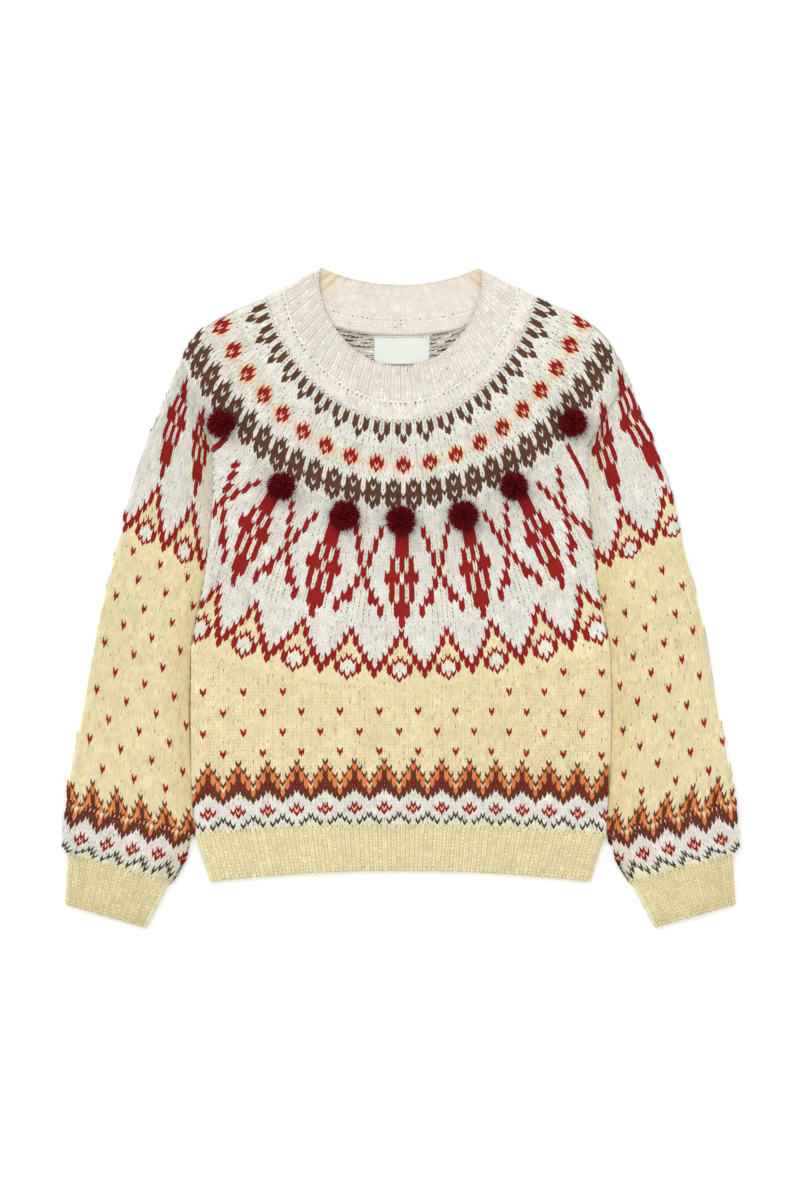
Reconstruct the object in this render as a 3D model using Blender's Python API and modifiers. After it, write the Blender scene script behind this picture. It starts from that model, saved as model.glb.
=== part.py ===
"""A child's round-yoke jumper with seven fur pompoms, laid flat on its back.

+X is to the right of someone looking at the front, +Y points to the neck, and the
cloth lies on z = 0. The yoke, body, sleeves and ribs are knitted walls: the front
layer lies on the back layer, and both turn round into each other at the folds.
The sizes in the tables are millimetres.
"""

import math
import random

import bmesh
import bpy
from mathutils import Vector

MM = 0.001

# Cloth, in millimetres
WALL = 2.6
FOLD_Z = 3.2
FLAT_TOP = 6.2
SEAM = 0.3
SLEEVE_CLEARANCE = 0.9
NECK_CLEARANCE = 0.6

# Radii of the folds, measured in plan, and how far the cloth swells beside them
OUTLINE_ROLL = 5.0
BODY_ROLL = 6.0
UNDERARM_ROLL = 15.0
BODY_SWELL = 1.7
SLEEVE_SWELL = 1.2
SWELL_WIDTH = 9.0

# Neckband and ribs
NECK_TOP = 7.3
RIB_RELIEF = 0.8
NECK_RIBS_FRONT = 31
NECK_RIBS_BACK = 19
HEM_RIBS = 44
CUFF_RIBS = 11
RIB_STEP = 1.6

# Pompoms
HEAD_RADIUS = 9.6
LOCK_REACH = 14.4
LOCK_SPREAD = 0.8
LOCK_TIP_SHARE = 0.5
LOCKS = 35
LOWEST_LOCK = -0.3
LOCK_ROOT = 0.2

# Label
LABEL_WIDTH = 50.0
LABEL_TOP_Y = 235.0
LABEL_BOTTOM_Y = 209.5
LABEL_THICKNESS = 0.8
LABEL_CORNER = 4.0

# The fold where the front lies over the sleeve: height y, distance x from the middle
SIDE_FOLD = (
    # y, x
    (138.0, 168.8),
    (95.0, 168.6),
    (58.0, 170.4),
    (14.0, 176.9),
    (-20.0, 184.5),
    (-47.0, 189.0),
    (-110.0, 190.2),
    (-165.0, 188.0),
    (-213.0, 185.0),
)
FOLD_SHARE = 0.735  # share of the first split course that lies on the body
FOLD_RUN = 34.0  # length in which the fold grows from nothing to its full depth

# Courses of the front, right half. Each is a curve from the middle of the front to
# the fold at the shoulder: height at the middle, place of its end, and how round it
# is, as the share of the end's x and of its rise that halfway reaches.
FRONT_COURSES = {
    # name: middle y, end x, end y, halfway x share, halfway rise share
    "neck_edge": (207.5, 71.5, 296.5, 0.774, 0.333),
    "rib_end": (177.0, 103.0, 280.0, 0.68, 0.30),
    "band_seam": (159.0, 120.2, 271.0, 0.633, 0.30),
    "ring_two": (117.5, 165.2, 251.0, 0.603, 0.296),
    "ring_three": (94.0, 188.6, 230.0, 0.594, 0.272),
    "split": (55.4, 203.9, 197.6, 0.603, 0.28),
}
# Courses of the back, which rises higher at the neck
BACK_COURSES = {
    "neck_edge": (281.0, 71.5, 296.5, 0.52, 0.25),
    "rib_end": (252.0, 103.0, 280.0, 0.53, 0.25),
    "band_seam": (236.0, 120.2, 271.0, 0.54, 0.26),
    "ring_two": (190.0, 165.2, 251.0, 0.57, 0.27),
    "ring_three": (161.0, 188.6, 230.0, 0.58, 0.27),
    "split": (105.0, 203.9, 197.6, 0.603, 0.28),
}
# Courses of the body below the split, which end at the side fold
BODY_COURSES_FRONT = (
    # middle y, end y, halfway x share, halfway rise share
    (19.4, 95.0, 0.53, 0.26),
    (-34.7, 14.0, 0.51, 0.25),
    (-81.5, -47.3, 0.50, 0.25),
)
BODY_COURSES_BACK = (
    (62.0, 95.0, 0.53, 0.26),
    (2.0, 14.0, 0.51, 0.25),
    (-56.0, -47.3, 0.50, 0.25),
)
YOKE_EDGE_FRONT = (-81.5, -47.3, 0.50, 0.25)
YOKE_EDGE_BACK = (-56.0, -47.3, 0.50, 0.25)
HEM_TOP = (-205.2, -212.9, 0.50, 0.25)
HEM_BOTTOM = (-245.3, -255.2, 0.50, 0.25)
HEM_BOTTOM_X = 171.9

# Courses of the sleeve: its underarm end (x is worked out from the side fold where
# none is given) and its outer end
SLEEVE_TONGUE = (
    # underarm y, outer x, outer y
    (126.5, 216.5, 167.0),
    (81.5, 237.2, 116.6),
    (15.8, 252.9, 53.6),
)
SLEEVE_COURSES = (
    # underarm x or None, underarm y, outer x, outer y
    (None, 15.8, 252.9, 53.6),
    (None, -57.2, 271.4, -20.3),
    (None, -129.2, 284.0, -92.3),
    (None, -196.7, 298.4, -164.3),
    (195.0, -233.6, 305.0, -213.8),
    (207.5, -256.1, 299.7, -230.0),
)
CUFF_COURSES = (
    (207.5, -256.1, 299.7, -230.0),
    (228.6, -296.5, 302.4, -275.0),
)

# Soft folds in the front layer: from, to, height (a trough if negative), half width
SOFT_FOLDS = (
    # x1, y1, x2, y2, height, half width
    (166.0, 142.0, 148.0, 196.0, -0.7, 9.0),
    (186.0, 150.0, 176.0, 205.0, 0.5, 10.0),
    (158.0, 96.0, 112.0, 20.0, 0.6, 14.0),
    (172.0, -20.0, 150.0, -120.0, 0.5, 12.0),
    (236.0, 96.0, 232.0, -60.0, 0.7, 16.0),
    (252.0, -70.0, 262.0, -190.0, -0.5, 12.0),
)

POMPOMS = (
    # x, y
    (-160.7, 155.3),
    (-106.7, 99.5),
    (-50.0, 73.4),
    (0.5, 68.9),
    (56.3, 73.4),
    (101.3, 99.5),
    (154.4, 156.2),
)


def clear_scene():
    for obj in list(bpy.data.objects):
        bpy.data.objects.remove(obj, do_unlink=True)


def make_material(name, colour, roughness):
    material = bpy.data.materials.new(name)
    material.use_nodes = True
    shader = material.node_tree.nodes["Principled BSDF"]
    shader.inputs["Base Color"].default_value = (*colour, 1.0)
    shader.inputs["Roughness"].default_value = roughness
    shader.inputs["Metallic"].default_value = 0.0
    return material


def through(table, t):
    """The row at t, on a smooth curve through a table's rows. Row 0 is at t = 0."""
    last = len(table) - 1
    t = min(max(t, 0.0), float(last))
    i = min(int(t), last - 1)
    f = t - i
    rows = [table[min(max(k, 0), last)] for k in (i - 1, i, i + 1, i + 2)]
    point = []
    for a, b, c, d in zip(*rows):
        point.append(
            b + 0.5 * f * (c - a + f * (2 * a - 5 * b + 4 * c - d + f * (3 * (b - c) + d - a)))
        )
    return tuple(point)


def side_x(y):
    """Distance of the side fold from the middle at height y."""
    for (y1, x1), (y2, x2) in zip(SIDE_FOLD, SIDE_FOLD[1:]):
        if y >= y2:
            return x1 + (x2 - x1) * min(max((y1 - y) / (y1 - y2), 0.0), 1.0)
    return SIDE_FOLD[-1][1]


def course_point(course, q):
    """Point of a course at q, from 0 in the middle to 1 at its end."""
    middle_y, end_x, end_y, half_x, half_rise = course
    x1 = (half_x - 0.125) / 0.375
    y2 = (half_rise - 0.0625) / 0.1875
    x = end_x * (x1 * q + (1.0 - x1) * q**3)
    y = middle_y + (end_y - middle_y) * (y2 * q**2 + (1.0 - y2) * q**4)
    return x, y


def body_course(row):
    middle_y, end_y, half_x, half_rise = row
    return (middle_y, side_x(end_y), end_y, half_x, half_rise)


def soft_folds(x, y):
    """Height that the soft folds add to the front layer."""
    added = 0.0
    for x1, y1, x2, y2, height, half_width in SOFT_FOLDS:
        run = Vector((x2 - x1, y2 - y1))
        to_point = Vector((abs(x) - x1, y - y1))
        along = to_point.dot(run) / run.length_squared
        across = abs(to_point.cross(run)) / run.length
        if 0.0 < along < 1.0:
            added += height * math.sin(math.pi * along) * math.exp(-((across / half_width) ** 2))
    return added


def swell(distance, height, roll):
    return height * math.exp(-(((distance - roll) / SWELL_WIDTH) ** 2))


class Strip:
    """One course of one layer: a plan curve with the cloth's turn at its ends.

    start and end are (radius, depth) of the turn at each end, or None where the
    cloth goes on. depth is 0 for flat cloth and 1 for a whole fold.
    """

    def __init__(self, point_at, start, end, top_at):
        self.point_at = point_at
        self.start = start
        self.end = end
        self.top_at = top_at
        steps = [point_at(i / 24) for i in range(25)]
        self.length = sum(math.dist(a, b) for a, b in zip(steps, steps[1:]))

    def distances(self, columns):
        found = []
        for kind, value in columns:
            if kind == "start":
                found.append(value)
            elif kind == "share":
                found.append(value * self.length)
            else:
                found.append(self.length - value)
        return found

    @staticmethod
    def lift(distance, turn):
        if turn is None or distance >= turn[0]:
            return 1.0
        radius, depth = turn
        rise = math.sqrt(max(0.0, 1.0 - (1.0 - distance / radius) ** 2))
        return 1.0 - depth * (1.0 - rise)

    @staticmethod
    def inset(distance, turn):
        if turn is None or distance >= turn[0]:
            return 0.0
        radius, depth = turn
        return depth * WALL * (1.0 - distance / radius)

    def points(self, columns, layer, fold_z, relief=None):
        """Outer and inner points of the layer, +1 for the front and -1 for the back."""
        outer = []
        inner = []
        for index, along in enumerate(self.distances(columns)):
            rest = self.length - along
            lift = self.lift(along, self.start) * self.lift(rest, self.end)
            inside = along + self.inset(along, self.start) - self.inset(rest, self.end)
            x, y = self.point_at(along / self.length)
            inner_x, inner_y = self.point_at(inside / self.length)
            raised = relief[index] * lift if relief else 0.0
            if layer > 0:
                top = self.top_at(x, y, along, rest)
                outer.append((x, y, fold_z + (top - fold_z) * lift + raised))
                inner.append((inner_x, inner_y, fold_z + (top - WALL - fold_z) * lift))
            else:
                outer.append((x, y, fold_z * (1.0 - lift)))
                inner.append((inner_x, inner_y, fold_z - (fold_z - WALL) * lift + raised))
        return outer, inner


def turn_columns(kind, radius):
    """Columns round a fold, from its edge to where the cloth is flat."""
    return [(kind, radius * (1.0 - math.cos(math.radians(angle)))) for angle in (0, 32, 60, 90)]


def shares(first, last, count):
    return [("share", first + (last - first) * i / (count - 1)) for i in range(count)]


def make_wall(name, outer, inner, cells, material, collection, open_at_middle=False):
    """A closed wall between outer and inner points, which share their cells."""
    mesh = bpy.data.meshes.new(name)
    build = bmesh.new()
    outside = [build.verts.new(Vector(point) * MM) for point in outer]
    inside = [build.verts.new(Vector(point) * MM) for point in inner]
    edges = {}
    for cell in cells:
        build.faces.new([outside[i] for i in cell])
        build.faces.new([inside[i] for i in reversed(cell)])
        for a, b in zip(cell, cell[1:] + cell[:1]):
            edges[(a, b)] = True
    for a, b in edges:
        if (b, a) in edges:
            continue
        if open_at_middle and abs(outer[a][0]) < 1e-6 and abs(outer[b][0]) < 1e-6:
            continue
        build.faces.new((outside[b], outside[a], inside[a], inside[b]))
    build.to_mesh(mesh)
    build.free()
    obj = bpy.data.objects.new(name, mesh)
    obj.data.materials.append(material)
    mesh.shade_smooth()
    mesh.set_sharp_from_angle(angle=math.radians(50))
    collection.objects.link(obj)
    if open_at_middle:
        mirror = obj.modifiers.new("mirror", "MIRROR")
        mirror.use_axis = (True, False, False)
        mirror.merge_threshold = 0.00005
    return obj


class Grid:
    """Points in rows, whose neighbours make four-sided cells."""

    def __init__(self):
        self.outer = []
        self.inner = []
        self.cells = []

    def add_row(self, outer, inner):
        first = len(self.outer)
        self.outer.extend(outer)
        self.inner.extend(inner)
        return list(range(first, first + len(outer)))

    def join(self, upper, lower, closed=False):
        count = len(upper)
        for i in range(count if closed else count - 1):
            j = (i + 1) % count
            self.cells.append((upper[i], lower[i], lower[j], upper[j]))

    def flipped(self):
        self.cells = [tuple(reversed(cell)) for cell in self.cells]
        return self

    def make(self, name, material, collection, open_at_middle=False):
        return make_wall(
            name, self.outer, self.inner, self.cells, material, collection, open_at_middle
        )


def trimmed(rows, first, last):
    """Rows with their first and last one drawn back along the cloth, for the seams."""
    result = [list(row) for row in rows]
    for index, towards, amount in ((0, 1, first), (-1, -2, last)):
        if amount:
            moved = []
            for a, b in zip(rows[index], rows[towards]):
                step = Vector((b[0] - a[0], b[1] - a[1]))
                step = step.normalized() * amount
                moved.append((a[0] + step.x, a[1] + step.y, a[2]))
            result[index] = moved
    return result


def flat_top(x, y, along, rest):
    return FLAT_TOP + soft_folds(x, y)


def body_top(x, y, along, rest):
    return FLAT_TOP + swell(rest, BODY_SWELL, BODY_ROLL) + soft_folds(x, y)


def sleeve_top(x, y, along, rest):
    return FLAT_TOP + swell(rest, SLEEVE_SWELL, OUTLINE_ROLL) + soft_folds(x, y)


def yoke_columns(fine):
    """Columns of the body's share and of the sleeve's share of a yoke course."""
    body_count = 11 if fine else 8
    body = shares(0.0, 0.88, body_count)
    body += list(reversed(turn_columns("end", BODY_ROLL)))
    sleeve = [("start", 0.0), ("start", 2.0), ("start", 7.5), ("start", UNDERARM_ROLL)]
    sleeve += [("share", 0.6)]
    sleeve += list(reversed(turn_columns("end", OUTLINE_ROLL)))
    return body, sleeve


def yoke_grid(courses, body_rows, layer, fine):
    """The yoke's half: full courses down to the split, then a body and a sleeve tongue."""
    fold_z = FOLD_Z + layer * SEAM / 2
    body_columns, sleeve_columns = yoke_columns(fine)
    named = [courses[key] for key in ("band_seam", "ring_two", "ring_three", "split")]
    steps = 9 if fine else 6
    full_rows = []
    for i in range(steps + 1):
        course = through(named, 3.0 * i / steps)

        def body_part(q, course=course):
            return course_point(course, q * FOLD_SHARE)

        def sleeve_part(q, course=course):
            return course_point(course, FOLD_SHARE + q * (1.0 - FOLD_SHARE))

        body_strip = Strip(body_part, None, None, flat_top)
        sleeve_strip = Strip(sleeve_part, None, (OUTLINE_ROLL, 1.0), flat_top)
        outer, inner = body_strip.points(body_columns, layer, fold_z)
        more_outer, more_inner = sleeve_strip.points(sleeve_columns, layer, fold_z)
        full_rows.append((outer + more_outer[1:], inner + more_inner[1:]))

    split = courses["split"]
    split_x, split_y = course_point(split, FOLD_SHARE)
    body_table = [
        (split[0], split_x, split_y, 0.54, 0.27),
        *[body_course(row) for row in body_rows],
    ]
    sleeve_table = [
        (split_x, split_y, *course_point(split, 1.0)),
        *[(side_x(y) + SLEEVE_CLEARANCE, y, outer_x, outer_y)
          for y, outer_x, outer_y in SLEEVE_TONGUE],
    ]
    tongue_steps = 9 if fine else 6
    body_tongue = []
    sleeve_tongue = []
    for i in range(1, tongue_steps + 1):
        t = 3.0 * i / tongue_steps
        course = through(body_table, t)
        depth = min(1.0, (split_y - course[2]) / FOLD_RUN)

        def body_part(q, course=course):
            return course_point(course, q)

        strip = Strip(
            body_part,
            None,
            (BODY_ROLL, depth),
            lambda x, y, along, rest, depth=depth: (
                flat_top(x, y, along, rest) + depth * swell(rest, BODY_SWELL, BODY_ROLL)
            ),
        )
        body_tongue.append(strip.points(body_columns, layer, fold_z))

        start_x, start_y, end_x, end_y = through(sleeve_table, t)
        depth = min(1.0, (split_y - start_y) / FOLD_RUN)

        def sleeve_part(q, a=(start_x, start_y), b=(end_x, end_y)):
            return a[0] + (b[0] - a[0]) * q, a[1] + (b[1] - a[1]) * q

        strip = Strip(
            sleeve_part,
            (UNDERARM_ROLL, depth),
            (OUTLINE_ROLL, 1.0),
            lambda x, y, along, rest, depth=depth: (
                flat_top(x, y, along, rest) + depth * swell(rest, SLEEVE_SWELL, OUTLINE_ROLL)
            ),
        )
        sleeve_tongue.append(strip.points(sleeve_columns, layer, fold_z))

    grid = Grid()
    above = None
    for outer, inner in full_rows:
        row = grid.add_row(outer, inner)
        if above:
            grid.join(above, row)
        above = row
    on_body = len(body_columns)
    last_body = above[:on_body]
    last_sleeve = above[on_body - 1:]
    for outer, inner in body_tongue:
        row = grid.add_row(outer, inner)
        grid.join(last_body, row)
        last_body = row
    for outer, inner in sleeve_tongue:
        row = grid.add_row(outer, inner)
        grid.join(last_sleeve, row)
        last_sleeve = row
    return grid if layer > 0 else grid.flipped()


def body_grid(yoke_edge, layer, columns, steps):
    """Half of the body's front or back, from the yoke's edge to the hem."""
    fold_z = FOLD_Z + layer * SEAM / 2
    table = [
        body_course(yoke_edge),
        body_course((-143.6, -149.0, 0.5, 0.25)),
        body_course(HEM_TOP),
    ]
    outer_rows = []
    inner_rows = []
    for i in range(steps + 1):
        middle_y, _, end_y, half_x, half_rise = through(table, 2.0 * i / steps)
        course = (middle_y, side_x(end_y), end_y, half_x, half_rise)
        strip = Strip(lambda q: course_point(course, q), None, (BODY_ROLL, 1.0), body_top)
        outer, inner = strip.points(columns, layer, fold_z)
        outer_rows.append(outer)
        inner_rows.append(inner)
    outer_rows = trimmed(outer_rows, SEAM, SEAM / 2)
    inner_rows = trimmed(inner_rows, SEAM, SEAM / 2)
    grid = Grid()
    above = None
    for outer, inner in zip(outer_rows, inner_rows):
        row = grid.add_row(outer, inner)
        if above:
            grid.join(above, row)
        above = row
    return grid if layer > 0 else grid.flipped()


def rib_columns(ribs, first, last):
    """Columns over ribs between two distances of a strip, with each one's relief."""
    columns = []
    relief = []
    for rib in range(ribs):
        for place, height in ((0.0, 0.0), (0.28, 1.0), (0.72, 1.0)):
            columns.append(("share", first + (last - first) * (rib + place) / ribs))
            relief.append(height * RIB_RELIEF)
    return columns, relief


def ring_rows(strips, upper_columns, upper_relief, lower_columns, lower_relief, half):
    """Outer and inner rings: over the front layer, and back under it."""
    outer_rows = []
    inner_rows = []
    for (upper, lower), relief_share in strips:
        raised = [value * relief_share for value in upper_relief]
        outer, inner = upper.points(upper_columns, 1, FOLD_Z, raised)
        under_raised = [value * relief_share for value in lower_relief]
        under_outer, under_inner = lower.points(lower_columns, -1, FOLD_Z, under_raised)
        stop = None if half else 0
        inner[-1] = under_inner[-1]
        outer_rows.append(outer + under_outer[-2:stop:-1])
        inner_rows.append(inner + under_inner[-2:stop:-1])
    return outer_rows, inner_rows


def make_ring(name, outer_rows, inner_rows, gaps, closed, material, collection):
    outer_rows = trimmed(outer_rows, *gaps)
    inner_rows = trimmed(inner_rows, *gaps)
    grid = Grid()
    above = None
    for outer, inner in zip(outer_rows, inner_rows):
        row = grid.add_row(outer, inner)
        if above:
            grid.join(above, row, closed)
        above = row
    return grid.make(name, material, collection, open_at_middle=not closed)


def add_neckband(material, collection):
    """A ring of ribs and a plain edge, its front part lying over its back part."""
    turn = (OUTLINE_ROLL, 1.0)
    end_share = 0.93
    front_columns, front_relief = rib_columns(NECK_RIBS_FRONT // 2, 0.0, end_share)
    back_columns, back_relief = rib_columns(NECK_RIBS_BACK // 2, 0.0, end_share)
    turn_down = list(reversed(turn_columns("end", OUTLINE_ROLL)))[1:]
    front_columns += turn_down
    back_columns += turn_down
    front_relief += [0.0] * len(turn_down)
    back_relief += [0.0] * len(turn_down)

    def top_near_edge(share):
        return lambda x, y, along, rest: NECK_TOP + (FLAT_TOP - NECK_TOP) * share

    strips = []
    rows = (("neck_edge", 0.0, 1.0), ("rib_end", -RIB_STEP, 1.0), ("rib_end", 0.0, 0.0),
            ("band_seam", 0.0, 0.0))
    for name, shift, relief_share in rows:
        pair = []
        for courses in (FRONT_COURSES, BACK_COURSES):
            middle_y, end_x, end_y, half_x, half_rise = courses[name]
            course = (middle_y - shift, end_x + shift, end_y, half_x, half_rise)
            share = 0.0 if name == "neck_edge" else 1.0
            pair.append(
                Strip(lambda q, c=course: course_point(c, q), None, turn, top_near_edge(share))
            )
        strips.append((pair, relief_share))
    outer, inner = ring_rows(
        strips, front_columns, front_relief, back_columns, back_relief, half=True
    )
    return make_ring("neckband", outer, inner, (0.0, NECK_CLEARANCE), False, material, collection)


def add_hem(material, collection):
    turn = (OUTLINE_ROLL, 1.0)
    upper_columns, relief = rib_columns(HEM_RIBS // 2, 0.0, 0.965)
    turn_down = list(reversed(turn_columns("end", OUTLINE_ROLL)))[1:]
    upper_columns += turn_down
    relief += [0.0] * len(turn_down)
    lower_columns = shares(0.0, 0.9, 6) + list(reversed(turn_columns("end", OUTLINE_ROLL)))
    strips = []
    for share, relief_share in ((0.0, 0.35), (0.12, 1.0), (1.0, 1.0)):
        middle_y = HEM_TOP[0] + (HEM_BOTTOM[0] - HEM_TOP[0]) * share
        end_y = HEM_TOP[1] + (HEM_BOTTOM[1] - HEM_TOP[1]) * share
        end_x = side_x(HEM_TOP[1]) + (HEM_BOTTOM_X - side_x(HEM_TOP[1])) * share
        course = (middle_y, end_x, end_y, 0.5, 0.25)
        strip = Strip(lambda q, c=course: course_point(c, q), None, turn, flat_top)
        strips.append(((strip, strip), relief_share))
    outer, inner = ring_rows(
        strips, upper_columns, relief, lower_columns, [0.0] * len(lower_columns), half=True
    )
    return make_ring("hem_rib", outer, inner, (SEAM / 2, 0.0), False, material, collection)


def straight(a, b):
    return lambda q: (a[0] + (b[0] - a[0]) * q, a[1] + (b[1] - a[1]) * q)


def sleeve_ends(course, side):
    start_x, start_y, end_x, end_y = course
    if start_x is None:
        start_x = side_x(start_y) + SLEEVE_CLEARANCE
    return (side * start_x, start_y), (side * end_x, end_y)


def add_sleeve(name, side, material, collection):
    start = turn_columns("start", UNDERARM_ROLL)
    end = list(reversed(turn_columns("end", OUTLINE_ROLL)))
    upper_columns = start + shares(0.3, 0.86, 4) + end
    lower_columns = start + shares(0.4, 0.7, 2) + end
    table = [
        (side_x(row[1]) + SLEEVE_CLEARANCE if row[0] is None else row[0], *row[1:])
        for row in SLEEVE_COURSES
    ]
    strips = []
    steps = 14
    for i in range(steps + 1):
        t = (len(table) - 1) * i / steps
        start_x, start_y, end_x, end_y = through(table, t)
        if start_y > SIDE_FOLD[-1][0]:
            start_x = side_x(start_y) + SLEEVE_CLEARANCE
        a, b = (side * start_x, start_y), (side * end_x, end_y)
        strip = Strip(straight(a, b), (UNDERARM_ROLL, 1.0), (OUTLINE_ROLL, 1.0), sleeve_top)
        strips.append(((strip, strip), 0.0))
    outer, inner = ring_rows(
        strips,
        upper_columns,
        [0.0] * len(upper_columns),
        lower_columns,
        [0.0] * len(lower_columns),
        half=False,
    )
    obj = make_ring(name, outer, inner, (SEAM, SEAM / 2), True, material, collection)
    if side < 0:
        obj.data.flip_normals()
    return obj


def add_cuff(name, side, material, collection):
    turn = (OUTLINE_ROLL, 1.0)
    start = turn_columns("start", OUTLINE_ROLL)[:-1]
    end = list(reversed(turn_columns("end", OUTLINE_ROLL)))[1:]
    ribs, relief = rib_columns(CUFF_RIBS, 0.06, 0.94)
    upper_columns = start + ribs + end
    relief = [0.0] * len(start) + relief + [0.0] * len(end)
    lower_columns = start + shares(0.1, 0.9, 4) + end
    strips = []
    for share, relief_share in ((0.0, 0.35), (0.15, 1.0), (1.0, 1.0)):
        first, last = CUFF_COURSES
        course = [p + (q - p) * share for p, q in zip(first, last)]
        a, b = sleeve_ends(course, side)
        strip = Strip(straight(a, b), turn, turn, flat_top)
        strips.append(((strip, strip), relief_share))
    outer, inner = ring_rows(
        strips, upper_columns, relief, lower_columns, [0.0] * len(lower_columns), half=False
    )
    obj = make_ring(name, outer, inner, (SEAM / 2, 0.0), True, material, collection)
    if side < 0:
        obj.data.flip_normals()
    return obj


def add_label(material, collection):
    """A bare woven label with two rounded corners, on the inside of the back."""
    mesh = bpy.data.meshes.new("neck_label")
    build = bmesh.new()
    bmesh.ops.create_cube(build, size=1.0)
    height = LABEL_TOP_Y - LABEL_BOTTOM_Y
    for vert in build.verts:
        vert.co.x *= LABEL_WIDTH * MM
        vert.co.y *= height * MM
        vert.co.z *= LABEL_THICKNESS * MM
    corners = [
        edge for edge in build.edges
        if all(vert.co.y < 0 for vert in edge.verts)
        and abs(edge.verts[0].co.z - edge.verts[1].co.z) > 1e-6
    ]
    bmesh.ops.bevel(
        build, geom=corners, offset=LABEL_CORNER * MM, segments=4, profile=0.5, affect="EDGES"
    )
    build.to_mesh(mesh)
    build.free()
    label = bpy.data.objects.new("neck_label", mesh)
    label.data.materials.append(material)
    label.location = (
        0.0,
        (LABEL_TOP_Y + LABEL_BOTTOM_Y) / 2 * MM,
        (WALL + SEAM + LABEL_THICKNESS / 2) * MM,
    )
    collection.objects.link(label)
    return label


def front_top(x, y):
    """Height of the front cloth's top where a pompom sits."""
    return FLAT_TOP + soft_folds(x, y)


def add_pompom(number, x, y, material, collection):
    """A fur ball: a round head with tapered locks standing out of its faces."""
    rng = random.Random(number)
    mesh = bpy.data.meshes.new(f"pompom_{number}")
    build = bmesh.new()
    bmesh.ops.create_icosphere(build, subdivisions=2, radius=HEAD_RADIUS * MM)
    build.normal_update()
    upper = [face for face in build.faces if face.normal.z > LOWEST_LOCK]
    upper.sort(key=lambda face: (round(face.normal.z, 4), math.atan2(face.normal.y, face.normal.x)))
    chosen = [upper[int(i * len(upper) / LOCKS)] for i in range(LOCKS)]
    bmesh.ops.inset_individual(build, faces=chosen, thickness=LOCK_ROOT * MM)
    for face in bmesh.ops.extrude_discrete_faces(build, faces=chosen)["faces"]:
        centre = face.calc_center_median()
        tip = centre.normalized() * (LOCK_REACH - rng.uniform(0.0, LOCK_SPREAD)) * MM
        for vert in face.verts:
            vert.co = tip + (vert.co - centre) * LOCK_TIP_SHARE
    build.to_mesh(mesh)
    build.free()
    pompom = bpy.data.objects.new(f"pompom_{number}", mesh)
    pompom.data.materials.append(material)
    height = front_top(x, y) + SEAM + HEAD_RADIUS
    pompom.location = (x * MM, y * MM, height * MM)
    pompom.rotation_euler = (0.0, 0.0, rng.uniform(0.0, math.tau))
    collection.objects.link(pompom)
    return pompom


def main():
    clear_scene()
    collection = bpy.data.collections.new("knit_jumper")
    bpy.context.scene.collection.children.link(collection)
    white = make_material("white knit", (0.84, 0.82, 0.77), 0.95)
    cream = make_material("cream rib knit", (0.87, 0.82, 0.74), 0.95)
    yellow = make_material("pale yellow knit", (0.84, 0.73, 0.42), 0.95)
    wine = make_material("dark red fur", (0.09, 0.005, 0.012), 0.9)
    woven = make_material("woven label", (0.80, 0.84, 0.80), 0.6)

    add_neckband(cream, collection)
    yoke_grid(FRONT_COURSES, BODY_COURSES_FRONT, 1, True).make(
        "yoke_front", white, collection, open_at_middle=True
    )
    yoke_grid(BACK_COURSES, BODY_COURSES_BACK, -1, False).make(
        "yoke_back", white, collection, open_at_middle=True
    )
    side = list(reversed(turn_columns("end", BODY_ROLL)))
    body_grid(YOKE_EDGE_FRONT, 1, shares(0.0, 0.88, 7) + side, 7).make(
        "body_front", yellow, collection, open_at_middle=True
    )
    body_grid(YOKE_EDGE_BACK, -1, shares(0.0, 0.88, 4) + side, 4).make(
        "body_back", yellow, collection, open_at_middle=True
    )
    add_hem(yellow, collection)
    for name, side_sign in (("left", -1), ("right", 1)):
        add_sleeve(f"sleeve_{name}", side_sign, yellow, collection)
        add_cuff(f"cuff_{name}", side_sign, yellow, collection)
    add_label(woven, collection)
    for number, (x, y) in enumerate(POMPOMS, 1):
        add_pompom(number, x, y, wine, collection)


main()
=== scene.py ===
import math
from functools import cache, partial

import bmesh
import bpy
import numpy as np
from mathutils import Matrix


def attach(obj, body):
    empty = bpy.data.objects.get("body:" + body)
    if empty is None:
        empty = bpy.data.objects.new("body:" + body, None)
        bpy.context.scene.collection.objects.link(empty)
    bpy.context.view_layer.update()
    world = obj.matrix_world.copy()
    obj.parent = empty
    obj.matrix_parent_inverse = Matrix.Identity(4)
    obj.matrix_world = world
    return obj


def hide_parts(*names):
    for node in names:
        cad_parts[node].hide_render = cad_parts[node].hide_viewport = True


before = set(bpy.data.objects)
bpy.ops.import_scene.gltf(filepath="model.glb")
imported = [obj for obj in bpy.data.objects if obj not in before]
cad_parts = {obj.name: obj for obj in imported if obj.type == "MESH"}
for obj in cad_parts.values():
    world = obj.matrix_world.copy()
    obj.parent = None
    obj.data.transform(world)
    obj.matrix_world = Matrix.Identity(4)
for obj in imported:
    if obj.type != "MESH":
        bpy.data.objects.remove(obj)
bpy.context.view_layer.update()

MM = 0.001
SEED = 7

# Cloth, in millimetres, as in the part's source
WALL = 2.6
FOLD_Z = 3.2
FLAT_TOP = 6.2
SEAM = 0.3
SLEEVE_CLEARANCE = -0.5
NECK_TOP = 7.3
OUTLINE_ROLL = 5.0
BODY_ROLL = 6.0
UNDERARM_ROLL = 15.0
BODY_SWELL = 1.7
SLEEVE_SWELL = 1.2
SWELL_WIDTH = 9.0
FOLD_SHARE = 0.735
FOLD_RUN = 34.0

SIDE_FOLD = np.array((
    # y, x
    (138.0, 168.8),
    (95.0, 168.6),
    (58.0, 170.4),
    (14.0, 176.9),
    (-20.0, 184.5),
    (-47.0, 189.0),
    (-110.0, 190.2),
    (-165.0, 188.0),
    (-213.0, 185.0),
))
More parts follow.
